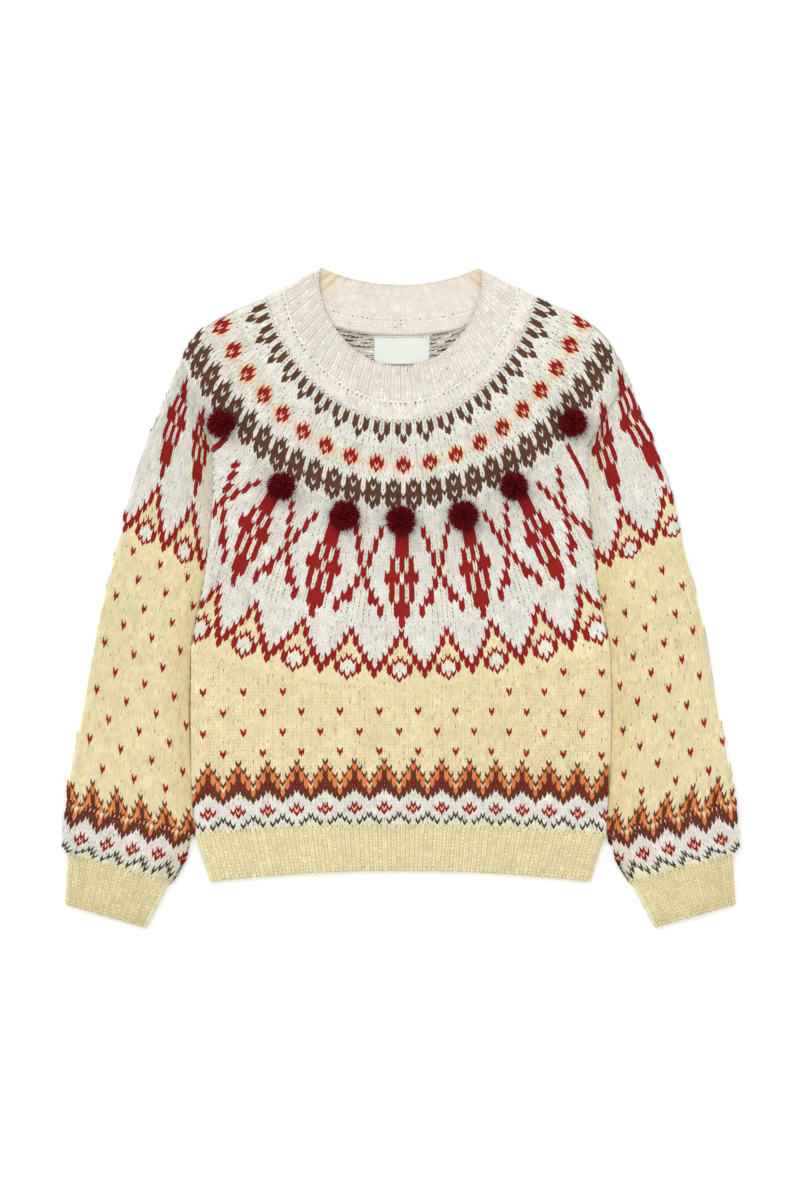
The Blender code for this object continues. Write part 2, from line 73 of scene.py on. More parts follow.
# Courses: height at the middle, place of the end, halfway share of x and of the rise
FRONT_COURSES = {
    "neck_edge": (207.5, 71.5, 296.5, 0.774, 0.333),
    "rib_end": (177.0, 103.0, 280.0, 0.68, 0.30),
    "band_seam": (159.0, 120.2, 271.0, 0.633, 0.30),
    "ring_two": (117.5, 165.2, 251.0, 0.603, 0.296),
    "ring_three": (94.0, 188.6, 230.0, 0.594, 0.272),
    "split": (55.4, 203.9, 197.6, 0.603, 0.28),
}
BACK_COURSES = {
    "neck_edge": (281.0, 71.5, 296.5, 0.52, 0.25),
    "rib_end": (252.0, 103.0, 280.0, 0.53, 0.25),
    "band_seam": (236.0, 120.2, 271.0, 0.54, 0.26),
    "ring_two": (190.0, 165.2, 251.0, 0.57, 0.27),
    "ring_three": (161.0, 188.6, 230.0, 0.58, 0.27),
    "split": (105.0, 203.9, 197.6, 0.603, 0.28),
}
# Courses of the body below the split: middle y, end y, halfway shares
BODY_COURSES_FRONT = (
    (19.4, 95.0, 0.53, 0.26),
    (-34.7, 14.0, 0.51, 0.25),
    (-81.5, -47.3, 0.50, 0.25),
)
BODY_COURSES_BACK = (
    (62.0, 95.0, 0.53, 0.26),
    (2.0, 14.0, 0.51, 0.25),
    (-56.0, -47.3, 0.50, 0.25),
)
BODY_MIDDLE = (-143.6, -149.0, 0.5, 0.25)
HEM_TOP = (-205.2, -212.9, 0.50, 0.25)
HEM_BOTTOM = (-245.3, -255.2, 0.50, 0.25)
HEM_BOTTOM_X = 171.9
SLEEVE_TONGUE = (
    # underarm y, outer x, outer y
    (126.5, 216.5, 167.0),
    (81.5, 237.2, 116.6),
    (15.8, 252.9, 53.6),
)
SLEEVE_COURSES = (
    # underarm x or None, underarm y, outer x, outer y
    (None, 15.8, 252.9, 53.6),
    (None, -57.2, 271.4, -20.3),
    (None, -129.2, 284.0, -92.3),
    (None, -196.7, 298.4, -164.3),
    (195.0, -233.6, 305.0, -213.8),
    (207.5, -256.1, 299.7, -230.0),
)
CUFF_COURSES = (
    (207.5, -256.1, 299.7, -230.0),
    (228.6, -296.5, 302.4, -275.0),
)
SOFT_FOLDS = (
    # x1, y1, x2, y2, height, half width
    (166.0, 142.0, 148.0, 196.0, -0.7, 9.0),
    (186.0, 150.0, 176.0, 205.0, 0.5, 10.0),
    (158.0, 96.0, 112.0, 20.0, 0.6, 14.0),
    (172.0, -20.0, 150.0, -120.0, 0.5, 12.0),
    (236.0, 96.0, 232.0, -60.0, 0.7, 16.0),
    (252.0, -70.0, 262.0, -190.0, -0.5, 12.0),
)
POMPOMS = (
    # x, y
    (-160.7, 155.3),
    (-106.7, 99.5),
    (-50.0, 73.4),
    (0.5, 68.9),
    (56.3, 73.4),
    (101.3, 99.5),
    (154.4, 156.2),
)
HEAD_RADIUS = 9.6
LABEL_WIDTH = 50.0
LABEL_TOP_Y = 235.0
LABEL_BOTTOM_Y = 209.5

# Rows of the yoke, counted down from the neckband's seam
YOKE_PITCH = 3.33
YOKE_ROWS = 55
LOWER_PITCH = 2.99
FULL_ROWS = 31
LAST_YOKE_ROW = 73
BODY_PITCH = 2.99
SLEEVE_PITCH = {-1: 3.6, 1: 3.42}
SLEEVE_BAND_PITCH = 3.46
BAND_ROWS = 20

# The picture's frame is 800 by 1200: millimetres of cloth a pixel, and the pixel over the origin
PIXEL = 0.9
ORIGIN_PX = (400.5, 597.5)


def px(x, y):
    """A place in the picture's frame, in millimetres on the cloth."""
    return ((x - ORIGIN_PX[0]) * PIXEL, (ORIGIN_PX[1] - y) * PIXEL)


# Where the axes of the motifs cross three rows of the motif ring: row, (stitch, x, y)
MOTIF_AXES = (
    (26.0, ((-48, 224, 440), (-40, 247, 478), (-32, 277.5, 488), (-24, 304.9, 505.7),
            (-16, 337.5, 519), (-8, 369.7, 524), (0, 402, 521), (8, 435.5, 521),
            (16, 466.5, 517), (24, 495, 506), (32, 518, 487), (40, 545, 470), (48, 566, 445))),
    (41.6, ((-40, 224, 502), (-32, 254.8, 531.2), (-24, 285.5, 551.6), (-16, 324.4, 563.8),
            (-8, 364, 571), (0, 402, 575), (8, 438.8, 572), (16, 473.7, 563),
            (24, 507, 550.4), (32, 537, 533), (40, 563, 512))),
    (54.0, ((-40, 191, 560), (-32, 230.6, 584.8), (-24, 271.1, 597.9), (-16, 312.2, 609.7),
            (-8, 357.2, 620.8), (0, 402, 622), (8, 442.9, 619), (16, 483, 611.3),
            (24, 523.2, 598), (32, 562.7, 583.8), (40, 602, 566))),
)
# The same for the zigzag border, whose peaks are ten stitches apart
BORDER_AXES = (
    (57.0, ((-45, 206.5, 568), (-40, 221, 583.5), (-30, 256.8, 603.3), (-20, 305.2, 614.8),
            (-10, 351.8, 628.2), (0, 401.5, 631), (10, 446.2, 627.4), (20, 489, 616.6),
            (30, 534, 599.2), (40, 576.8, 583.8), (45, 591.5, 568))),
    (70.5, ((-40, 200, 626), (-35, 218.5, 641.6), (-25, 267.6, 653.7), (-15, 320.5, 666),
            (-5, 374, 679), (5, 425, 679), (15, 472.6, 671), (25, 520, 654.1),
            (35, 569.4, 641.4), (40, 597, 628))),
)
# Wales of the body at its straight rows: stitch, x in the picture
BODY_WALES = (
    (-48, 163.5), (-40, 203.5), (-32, 243.7), (-24, 283.0), (-16, 320.5), (-8, 359.6),
    (0, 399.2), (8, 437.0), (16, 474.0), (24, 508.7), (32, 544.0), (40, 582.0), (48, 620.0),
)
# Sleeves: axes of the motifs, then wales at the first single stitches, the band's peaks
# and its diamonds
SLEEVE_AXES = {
    "left": (
        (26.0, ((-10, 213.2, 404.3), (0, 193.3, 378))),
        (41.0, ((-10, 201.3, 444.6), (0, 174.8, 424.7))),
        (55.0, ((-10, 195.2, 497.6), (0, 161.4, 480))),
        (71.0, ((-10, 184.2, 557.4), (0, 145.8, 537.4))),
    ),
    "right": (
        (26.0, ((-10, 594.8, 400), (0, 616.8, 370.8))),
        (40.0, ((-10, 608.6, 452), (0, 639, 428.5))),
        (55.0, ((-10, 621.3, 507.7), (0, 661, 479.5))),
        (71.0, ((-10, 634.6, 562.8), (0, 679.4, 545.2))),
    ),
}
SLEEVE_WALES = {
    "left": (
        ((0, 133, 552.6), (-16, 188.5, 576.5)),
        ((-2, 94.5, 778), (-14, 142, 793), (-26, 189, 811)),
        ((-8, 107.4, 842.3), (-14, 132.7, 850), (-20, 157.9, 858.4)),
    ),
    "right": (
        ((0, 688, 556), (-8, 661, 569), (-16, 631, 581)),
        ((-2, 717.5, 780), (-14, 667, 793.5), (-26, 616, 811)),
        ((-2, 720, 838), (-8, 693, 842), (-14, 668, 848), (-20, 643, 857)),
    ),
}

# Yarn colours, one letter each, as they look
YARNS = {
    "w": ("white", (240, 236, 225)),
    "c": ("cream", (252, 241, 227)),
    "y": ("yellow", (251, 230, 191)),
    "r": ("rib_yellow", (255, 236, 196)),
    "p": ("pale", (241, 239, 222)),
    "h": ("halo", (248, 230, 200)),
    "R": ("red", (156, 38, 36)),
    "B": ("brown", (102, 70, 52)),
    "M": ("maroon", (110, 60, 46)),
    "N": ("deep_red", (136, 30, 38)),
    "O": ("orange", (244, 142, 82)),
    "P": ("peach", (248, 200, 160)),
    "A": ("arch", (84, 70, 60)),
    # Painted shade: cream darkened for the neck's inner corners, where the fold shades them
    "s": ("cream_painted_shade", (244, 214, 176)),
    "g": ("yellow_green", (186, 184, 110)),
    # Cloth seen between the stitches, painted darker than its yarn as the shade in the gaps
    "W": ("white_ground_painted_shade", (196, 190, 178)),
    "C": ("cream_ground_painted_shade", (228, 218, 204)),
    "Y": ("yellow_ground_painted_shade", (204, 178, 122)),
    "Q": ("rib_ground_painted_shade", (226, 202, 152)),
    # Purl wales of the ribs
    "q": ("rib_purl", (250, 229, 186)),
    "d": ("cream_purl", (244, 232, 218)),
}
LETTERS = list(YARNS)
# How uneven the dye is
GRAIN = 0.13
LABEL_GRAIN = 0.04
FUR_GRAIN = 0.2


def srgb(colour):
    linear = []
    for value in colour:
        v = value / 255.0
        linear.append(v / 12.92 if v <= 0.04045 else ((v + 0.055) / 1.055) ** 2.4)
    return tuple(linear)


# Charts: rows of letters from the middle stitch of a repeat outwards. A dot is the ground,
# and so is what a row leaves out.
def chart_rows(*runs):
    """Rows of a chart, from lines of letters that each stay for a number of rows."""
    return [line for line, count in runs for _ in range(count)]


def from_middle(k, repeat):
    """How many stitches k is from the nearest middle of a repeat."""
    return min(k % repeat, -k % repeat)


def letter_at(chart, row, c, ground):
    """The letter of a chart at a row and c stitches from its middle."""
    line = chart[row] if 0 <= row < len(chart) else ""
    found = line[c] if c < len(line) else "."
    return ground if found == "." else found


CROWNS = ("pB.", "pB.", "pB.", "B..", "B..")
BERRIES = ("h..", "RP.", "RRh", "PRP", "RP.", "h..")
LATTICE = ("B..", "BB.", ".B.", "BB.", "BBB", ".B.", "BB.", "B..")
RINGS = (
    # chart, its repeat and its top row, the ring's first row and the row after its last, then
    # a row, the width of its stitches and where its middle is in the picture
    (CROWNS, 4, 1, 0, 8, 3, 5.0, 403.5),
    (BERRIES, 6, 9, 8, 15, 12, 4.06, 403.5),
    (LATTICE, 4, 16, 15, 25, 19, 4.59, 393.3),
)
# First rows of the big motifs' ring and of the zigzag border, and the top of the motifs' charts
MOTIF_START = 25
BORDER_START = 56
MOTIF_TOP = 26
MOTIF_A = chart_rows(
    ("R", 3), ("RRp", 8), ("RpR", 4), ("pRRR", 3), ("RpR", 5), ("RRp", 4), ("R", 3)
)
MOTIF_B = chart_rows(
    ("", 3), ("...R", 3), ("ppR", 4), ("pR", 4), ("Rp", 3), ("pR", 3), ("ppR", 2), ("ppRR", 2),
    ("ppp.R", 3), ("pp", 2)
)
SLEEVE_MOTIF = chart_rows(
    ("R", 2), ("RRp", 6), ("RpR", 5), ("pRRR", 3), ("RpR", 5), ("RRp", 5), ("R", 3)
)
# Motifs beyond this stitch show their middle line alone
LAST_WHOLE_STITCH = 44
# First and last red row of the border's zigzag, from a peak to a valley
ZIGZAG = ((57, 58), (59, 61), (62, 63), (64, 66), (66, 68), (68, 70))
DIAMOND_TOP = 65
DIAMOND = ("R..", "yR.", "wwR", "pwR", "wwR", "wR.", "R..")
# The lower band, column by column from a peak to a valley, each from its top row down
BAND = (
    "BOOMMMNNMwwwwRPRwwwr",
    "yyBOOOMMMMwwwwRwwwAr",
    "yyyyBOOOMMMwwwwwwApr",
    "yyyyyyBhOOMMwwwwAppr",
)
DIAMOND_ROW = 14
PEAK = 3
LICE_STEP = 6
LICE_ROWS_UP = 22


def ring_chart(row, k):
    """The small rings at the top of the yoke."""
    for chart, repeat, top, _, end, *_ in RINGS:
        if row < end:
            return letter_at(chart, row - top, from_middle(k, repeat), "w")
    return "w"


def motif(row, k):
    """The big motifs of the body, A and B by turns, eight stitches apart."""
    c = (k + 4) % 16 - 4
    chart, c = (MOTIF_A, c) if c < 4 else (MOTIF_B, c - 8)
    if abs(k) > LAST_WHOLE_STITCH and c != 0:
        return "w"
    r, c = row - MOTIF_TOP, abs(c)
    beside = letter_at(MOTIF_B, r, 8 - c, "w") if chart is MOTIF_A else "w"
    return letter_at(chart, r, c, beside)


def sleeve_motif(row, k):
    """The motifs of the sleeve are all alike, ten stitches apart."""
    return "w" if k > 5 else letter_at(SLEEVE_MOTIF, row - MOTIF_TOP, from_middle(k, 10), "w")


def border(row, k):
    """White above a red zigzag, yellow below it, with a diamond under each peak."""
    d = from_middle(k, 10)
    first, last = ZIGZAG[d]
    if row <= last:
        return "w" if row < first else "R"
    return letter_at(DIAMOND, row - DIAMOND_TOP, d, "y")


def band(rows_up, k):
    """The lower band, whose peaks are six stitches apart, and the plain yellow above it."""
    if rows_up >= BAND_ROWS:
        return "y"
    return BAND[from_middle(k - PEAK, 6)][BAND_ROWS - 1 - rows_up]


def lice(rows_up, k):
    """Single red stitches, every eighth stitch and every sixth row."""
    steps, rest = divmod(rows_up - LICE_ROWS_UP, LICE_STEP)
    if rest or steps < 0 or (k - (4 if steps % 2 == 0 else 0)) % 8:
        return " "
    if steps < 3 or (steps == 3 and abs(k) >= 24) or (steps == 4 and k in (36, 44)):
        return "R"
    return " "


# Curves
def course_line(course, q):
    """Places of a course at shares q of its half width, left below 0 and right above."""
    middle_y, end_x, end_y, half_x, half_rise = course
    x1 = (half_x - 0.125) / 0.375
    y2 = (half_rise - 0.0625) / 0.1875
    a = np.abs(q)
    x = np.sign(q) * end_x * (x1 * a + (1.0 - x1) * a**3)
    y = middle_y + (end_y - middle_y) * (y2 * a**2 + (1.0 - y2) * a**4)
    return np.stack([x, y], axis=1)


def through(table, t):
    """The row at t on a smooth curve through a table's rows, as in the part's source."""
    last = len(table) - 1
    t = min(max(t, 0.0), float(last))
    i = min(int(t), last - 1)
    f = t - i
    a, b, c, d = (np.array(table[min(max(k, 0), last)], float) for k in (i - 1, i, i + 1, i + 2))
    return b + 0.5 * f * (c - a + f * (2 * a - 5 * b + 4 * c - d + f * (3 * (b - c) + d - a)))


def side_x(y):
    """Where the body's side fold is at a height."""
    return np.interp(-np.asarray(y, float), -SIDE_FOLD[:, 0], SIDE_FOLD[:, 1])


def soft_folds(x, y):
    """Height that the soft folds add to the cloth."""
    added = np.zeros_like(x)
    for x1, y1, x2, y2, height, half_width in SOFT_FOLDS:
        run = np.array((x2 - x1, y2 - y1))
        length = np.hypot(*run)
        dx, dy = np.abs(x) - x1, y - y1
        along = (dx * run[0] + dy * run[1]) / length**2
        across = np.abs(dx * run[1] - dy * run[0]) / length
        bump = height * np.sin(np.pi * np.clip(along, 0.0, 1.0))
        added += bump * np.exp(-((across / half_width) ** 2))
    return added


FLAT_END = (1.0, 0.0)


class Row:
    """A course on the cloth, with its plan line and how the cloth turns at its ends."""

    def __init__(self, line, start=FLAT_END, end=FLAT_END, swell=0.0, neck=0.0, side=0):
        steps = np.hypot(*np.diff(line, axis=0).T)
        self.along = np.concatenate([[0.0], np.cumsum(steps)])
        self.length = self.along[-1]
        self.line = line
        self.start = start
        self.end = end
        self.swell = swell
        self.neck = neck
        # A row of a sleeve runs outwards from the underarm, any other from left to right
        self.flip = -1.0 if side < 0 else 1.0
        self.origin = 0.0 if side else float(np.interp(0.0, line[:, 0], self.along))

    def at(self, s):
        """Plan places at distances s from the row's origin."""
        s = np.asarray(s, float) + self.origin
        inside = np.clip(s, 0.0, self.length)
        x = np.interp(inside, self.along, self.line[:, 0])
        y = np.interp(inside, self.along, self.line[:, 1])
        first = (self.line[1] - self.line[0]) / (self.along[1] - self.along[0])
        last = (self.line[-1] - self.line[-2]) / (self.along[-1] - self.along[-2])
        before, after = np.minimum(s, 0.0), np.maximum(s - self.length, 0.0)
        x = x + before * first[0] + after * last[0]
        y = y + before * first[1] + after * last[1]
        return np.stack([x, y], axis=-1)

    def nearest(self, x, y):
        """Distance from the origin of the row's point nearest to a place."""
        a, b = self.line[:-1], self.line[1:]
        d = b - a
        f = ((np.array((x, y)) - a) * d).sum(1) / (d * d).sum(1)
        f = np.clip(f, 0.0, 1.0)
        gap = np.hypot(*(a + d * f[:, None] - np.array((x, y))).T)
        i = int(np.argmin(gap))
        return self.along[i] + f[i] * (self.along[i + 1] - self.along[i]) - self.origin


QS = np.linspace(-1.0, 1.0, 401)
# How a row turns at an end: radius and share of the whole turn
WHOLE = (OUTLINE_ROLL, 1.0)
BODY_TURN = (BODY_ROLL, 1.0)
UNDERARM_TURN = (UNDERARM_ROLL, 1.0)
# Courses that the rows of the yoke follow, from its top down
YOKE_KEYS = ("band_seam", "ring_two", "ring_three", "split")


def body_row(course, swell=BODY_SWELL):
    return Row(course_line(course, QS), BODY_TURN, BODY_TURN, swell)


def straight_line(ends, side, count=41):
    """Points between two ends of the right side, mirrored for the left one."""
    ends = np.array(ends) * ((side, 1.0), (side, 1.0))
    return ends[0] + (ends[1] - ends[0]) * np.linspace(0.0, 1.0, count)[:, None]


def yoke_y(row):
    """Height of a row of the front yoke at the middle."""
    if row < YOKE_ROWS:
        return FRONT_COURSES["band_seam"][0] - YOKE_PITCH * (row + 0.5)
    above = FRONT_COURSES["band_seam"][0] - YOKE_PITCH * YOKE_ROWS
    return above - LOWER_PITCH * (row - YOKE_ROWS + 0.5)


def t_of_middle(table, y):
    """Where a smooth table reaches the height y at the middle."""
    ts = np.linspace(0.0, len(table) - 1.0, 241)
    ys = np.array([through(table, t)[0] for t in ts])
    return float(np.interp(-y, -ys, ts))


def tables(courses, body_rows):
    """Courses of the whole yoke, of its part between the side folds and of a sleeve's part."""
    full = [courses[key] for key in YOKE_KEYS]
    split = courses["split"]
    split_x, split_y = course_line(split, np.array([FOLD_SHARE]))[0]
    body = [(split[0], split_x, split_y, 0.54, 0.27)]
    body += [(row[0], float(side_x(row[1])), *row[1:]) for row in body_rows]
    sleeve = [(split_x, split_y, *course_line(split, np.array([1.0]))[0])]
    sleeve += [(float(side_x(y)) + SLEEVE_CLEARANCE, y, ox, oy) for y, ox, oy in SLEEVE_TONGUE]
    return full, body, sleeve


def middle_of(row, back):
    """Height of a row at the middle. The back's rows are as many, over its own heights."""
    y = yoke_y(row)
    if not back:
        return y
    ahead = [FRONT_COURSES[key][0] for key in YOKE_KEYS] + [row[0] for row in BODY_COURSES_FRONT]
    behind = [BACK_COURSES[key][0] for key in YOKE_KEYS] + [row[0] for row in BODY_COURSES_BACK]
    return float(np.interp(-y, [-v for v in ahead], behind))


# The right sleeve is pulled a little further down than the left one
SLEEVE_ROWS_KNOWN = (31.0, 41.6, 55.0, 73.7)
SLEEVE_ROW_PLACES = {-1: (0.0, 1.0, 2.0, 3.0), 1: (0.0, 1.12, 2.17, 3.0)}


class Half:
    """All the rows of one side of the garment, front or back."""

    def __init__(self, back):
        courses = BACK_COURSES if back else FRONT_COURSES
        body_rows = BODY_COURSES_BACK if back else BODY_COURSES_FRONT
        self.full_table, self.body_table, self.sleeve_table = tables(courses, body_rows)
        self.back = back
        self.split_y = self.body_table[0][2]

    def full_course(self, row):
        t = t_of_middle(self.full_table, middle_of(row, self.back))
        return through(self.full_table, t)

    @cache
    def full(self, row):
        return Row(course_line(self.full_course(row), QS), WHOLE, WHOLE)

    @cache
    def body(self, row):
        """A curved row between the side folds, of the yoke below the split."""
        if row < FULL_ROWS:
            return self.full(row)
        t = t_of_middle(self.body_table, middle_of(row, self.back))
        course = through(self.body_table, t)
        depth = min(1.0, (self.split_y - course[2]) / FOLD_RUN)
        turn = (BODY_ROLL, depth)
        return Row(course_line(course, QS), turn, turn, BODY_SWELL * depth)

    @cache
    def sleeve(self, row, side):
        """A row of the sleeve's part of the yoke, from the underarm outwards."""
        if row < FULL_ROWS:
            line = course_line(self.full_course(row), np.linspace(FOLD_SHARE, 1.0, 81))
            line[:, 0] *= side
            return Row(line, FLAT_END, WHOLE, side=side)
        t = float(np.interp(row, SLEEVE_ROWS_KNOWN, SLEEVE_ROW_PLACES[side]))
        ax, ay, bx, by = through(self.sleeve_table, t)
        depth = min(1.0, (self.split_y - ay) / FOLD_RUN)
        line = straight_line(((ax, ay), (bx, by)), side, 81)
        return Row(line, (UNDERARM_ROLL, depth), WHOLE, SLEEVE_SWELL * depth, side=side)


# The hem's bend fades over this height, down to this share of it
BEND_FADE = 160.0
LEAST_BEND = 0.2


@cache
def body_straight(rows_up):
    """A nearly straight row of the body, counted up from the hem rib."""
    rise = BODY_PITCH * (rows_up + 0.5)
    middle_y = HEM_TOP[0] + rise
    drop = (HEM_TOP[1] - HEM_TOP[0]) * max(LEAST_BEND, 1.0 - rise / BEND_FADE)
    end_y = middle_y + drop
    return body_row((middle_y, float(side_x(end_y)), end_y, 0.5, 0.25))


# Where the band turns white, as a place in the sleeve's table
SLEEVE_BAND_T = 3.6


def sleeve_row_at(table, t, side):
    ax, ay, bx, by = through(table, t)
    if ay > SIDE_FOLD[-1][0]:
        ax = float(side_x(ay)) + SLEEVE_CLEARANCE
    line = straight_line(((ax, ay), (bx, by)), side)
    return Row(line, UNDERARM_TURN, WHOLE, SLEEVE_SWELL, side=side)


def sleeve_lines(side):
    """Rows of a sleeve below the yoke, counted down, and the table they come from."""
    table = []
    for x, y, outer_x, outer_y in SLEEVE_COURSES:
        x = float(side_x(y)) + SLEEVE_CLEARANCE if x is None else x
        table.append((x, y, outer_x, outer_y))
    ts = np.linspace(0.0, len(table) - 1.0, 301)
    points = np.array([through(table, t) for t in ts])
    middle = (points[:, :2] + points[:, 2:]) / 2
    along = np.concatenate([[0.0], np.cumsum(np.hypot(*np.diff(middle, axis=0).T))])
    band_length = SLEEVE_BAND_PITCH * BAND_ROWS
    count = int(round((along[-1] - band_length) / SLEEVE_PITCH[side]))
    places = [(along[-1] - band_length) * (i + 0.5) / count for i in range(count)]
    places += [along[-1] - band_length + SLEEVE_BAND_PITCH * (i + 0.5) for i in range(BAND_ROWS)]
    ts = [float(np.interp(place, along, ts)) for place in places]
    return [sleeve_row_at(table, t, side) for t in ts], table


# Wales: each function gives the distances of stitches k along a row. A row lays at most the
# first number of stitches each way from its middle, and the second number have a known place.
LAID_STITCHES = 150
KNOWN_STITCHES = 160


def spread_wales(known, k):
    """Distances of stitches k from known (stitch, distance) pairs, carried on at the ends."""
    ks, ss = np.array(sorted(known), float).T
    k = np.asarray(k, float)
    s = np.interp(k, ks, ss)
    first = (ss[1] - ss[0]) / (ks[1] - ks[0])
    last = (ss[-1] - ss[-2]) / (ks[-1] - ks[-2])
    s = np.where(k < ks[0], ss[0] + (k - ks[0]) * first, s)
    return np.where(k > ks[-1], ss[-1] + (k - ks[-1]) * last, s)


def anchored(axes, row_of):
    """Wales whose places are known on a few rows."""
    rows = [row for row, _ in axes]
    ks = np.arange(-KNOWN_STITCHES, KNOWN_STITCHES + 1)
    places = []
    for row, marks in axes:
        course = row_of(int(round(row)))
        places.append(spread_wales([(k, course.nearest(*px(x, y))) for k, x, y in marks], ks))

    def wales(row, k):
        row = min(max(row, rows[0]), rows[-1])
        j = min(max(int(np.searchsorted(rows, row)), 1), len(rows) - 1)
        share = (row - rows[j - 1]) / (rows[j] - rows[j - 1])
        s = places[j - 1] * (1.0 - share) + places[j] * share
        return np.interp(np.asarray(k, float), ks, s)
    return wales


def even(row_of, row, pitch, offset=0.0):
    """Wales that share every row evenly, with the given width on one row."""
    count = row_of(row).length / pitch
    return lambda row, k: (k + offset) * row_of(row).length / count


def shared(row_of, count):
    """A set number of wales over the whole of each row."""
    return lambda row, k: (k + 0.5) * row_of(row).length / count - row_of(row).origin


def behind(wales, front_row, back_row):
    """The wales of the front, on the back's rows, which are longer or shorter."""
    return lambda row, k: wales(row, k) * back_row(row).length / front_row(row).length


# Stitches. A leg of yarn runs through places (across, up), with its half width and height.
KNIT_LEG = (
    # across, up, half width, height
    (0.03, -1.15, 0.0, -0.9),
    (0.12, -0.60, 0.165, 0.55),
    (0.25, 0.02, 0.215, 1.0),
    (0.38, 0.62, 0.185, 0.65),
    (0.47, 1.20, 0.0, -0.9),
)
SOLID_LEG = (
    (0.03, -1.20, 0.0, -0.8),
    (0.13, -0.60, 0.20, 0.60),
    (0.25, 0.02, 0.25, 1.0),
    (0.37, 0.62, 0.22, 0.70),
    (0.47, 1.22, 0.0, -0.8),
)
PLAIN_LEG = (
    (0.03, -1.15, 0.0, -0.9),
    (0.18, -0.30, 0.26, 0.9),
    (0.33, 0.42, 0.25, 0.9),
    (0.47, 1.20, 0.0, -0.9),
)
RIB_LEG = (
    (0.10, -1.05, 0.0, -0.6),
    (0.19, -0.35, 0.19, 0.9),
    (0.29, 0.42, 0.19, 0.9),
    (0.36, 1.15, 0.0, -0.5),
)
PURL_BUMP = (
    (-0.62, 0.0, 0.0, -0.5),
    (-0.22, 0.1, 0.44, 0.75),
    (0.22, 0.1, 0.44, 0.75),
    (0.62, 0.0, 0.0, -0.5),
)
FLOAT = (
    (-1.50, -0.15, 0.0, -0.3),
    (-0.60, 0.0, 0.20, 0.9),
    (0.60, 0.10, 0.20, 0.9),
    (1.50, 0.25, 0.0, -0.3),
)
SPECK = (
    (0.0, -0.70, 0.0, 0.35),
    (0.0, -0.42, 0.13, 0.85),
    (0.0, -0.10, 0.0, 0.35),
)
LONE_LEG = (
    (0.02, -1.40, 0.0, 0.0),
    (0.11, -0.75, 0.24, 0.95),
    (0.23, 0.0, 0.36, 1.25),
    (0.33, 0.65, 0.33, 1.1),
    (0.46, 1.30, 0.0, 0.2),
)
# Darker yarns lie over the pale ones beside them
PROUD = {"R": 1.20, "B": 1.13, "M": 1.10, "A": 1.08}
# Painted shade: the sleeve's colour is darkened just beside the body's fold, where the fold shades it
PAINTED_SHADE_WIDTH = 17.0
PAINTED_FOLD_SHADE = np.array((0.05, 0.10, 0.21))
EDGE_HEIGHT = -0.65
YARN = 0.9
FRONT_SINK = 0.4
BACK_SINK = YARN * 1.05
CLOTH_SINK = 0.46


def strand(stations, side=1.0, lengthwise=True):
    """Points and triangles of one ridge of yarn through its stations."""
    first, last = stations[0], stations[-1]
    points = [(side * first[0], first[1], first[3])]
    for across, up, half, height in stations[1:-1]:
        a = side * across
        if lengthwise:
            points += [(a - half, up, EDGE_HEIGHT), (a, up, height), (a + half, up, EDGE_HEIGHT)]
        else:
            points += [(a, up + half, EDGE_HEIGHT), (a, up, height), (a, up - half, EDGE_HEIGHT)]
    points.append((side * last[0], last[1], last[3]))
    end = len(points) - 1
    faces = [(0, 2, 1), (0, 3, 2)]
    for j in range(1, end - 3, 3):
        for p in (j, j + 1):
            faces += [(p, p + 1, p + 4), (p, p + 4, p + 3)]
    faces += [(end - 3, end - 2, end), (end - 2, end - 1, end)]
    return np.array(points), np.array(faces)


def two_legs(stations):
    """Both legs of a knit stitch."""
    left, faces = strand(stations, -1.0)
    right, more = strand(stations, 1.0)
    return np.concatenate([left, right]), np.concatenate([faces, more + len(left)])


SHAPES = {
    "knit": two_legs(KNIT_LEG),
    "plain": two_legs(PLAIN_LEG),
    "lone": two_legs(LONE_LEG),
    "solid": two_legs(SOLID_LEG),
    "rib": two_legs(RIB_LEG),
    "purl": strand(PURL_BUMP, lengthwise=False),
    "float": strand(FLOAT, lengthwise=False),
    "speck": strand(SPECK),
}


def lift_of(distance, radius, depth):
    """How much of its height the cloth has at a distance from a fold, and how far it leans."""
    u = np.clip(1.0 - distance / radius, 0.0, 1.0)
    return 1.0 - depth * (1.0 - np.sqrt(1.0 - u * u)), u * depth


def on_cloth(layer, fold_z, x, y, along, row, height, tangent):
    """Moves places from the plan onto a face of the cloth, and out from it by a height."""
    r0, d0, r1, d1, length, swell, neck = row
    rest = length - along
    lift0, lean0 = lift_of(along, r0, d0)
    lift1, lean1 = lift_of(rest, r1, d1)
    lift = lift0 * lift1
    out = np.where(lean1 > lean0, lean1, -lean0)
    flat = np.sqrt(np.clip(1.0 - out * out, 0.0, 1.0))
    if layer == "inner":
        return x, y, fold_z - (fold_z - WALL) * lift + height
    if layer == "front":
        near = np.where((d0 > 0.0) & (r0 <= r1), np.minimum(along, rest), rest)
        top = FLAT_TOP + neck + soft_folds(x, y)
        top = top + swell * np.exp(-(((near - r1) / SWELL_WIDTH) ** 2))
        z = fold_z + (top - fold_z) * lift + (height - FRONT_SINK) * flat
    else:
        z = np.maximum(fold_z * (1.0 - lift) + (BACK_SINK - height) * flat, 0.0)
    side = (height - FRONT_SINK) * out
    return x + tangent[0] * side, y + tangent[1] * side, z


# How uneven the stitches are: their width, place across, place up and height
WOBBLE = (0.05, 0.03, 0.06, 0.12)
# How uneven their colour is, as a whole and channel by channel
SHADE_SPREAD = 0.05
HUE_SPREAD = 0.02


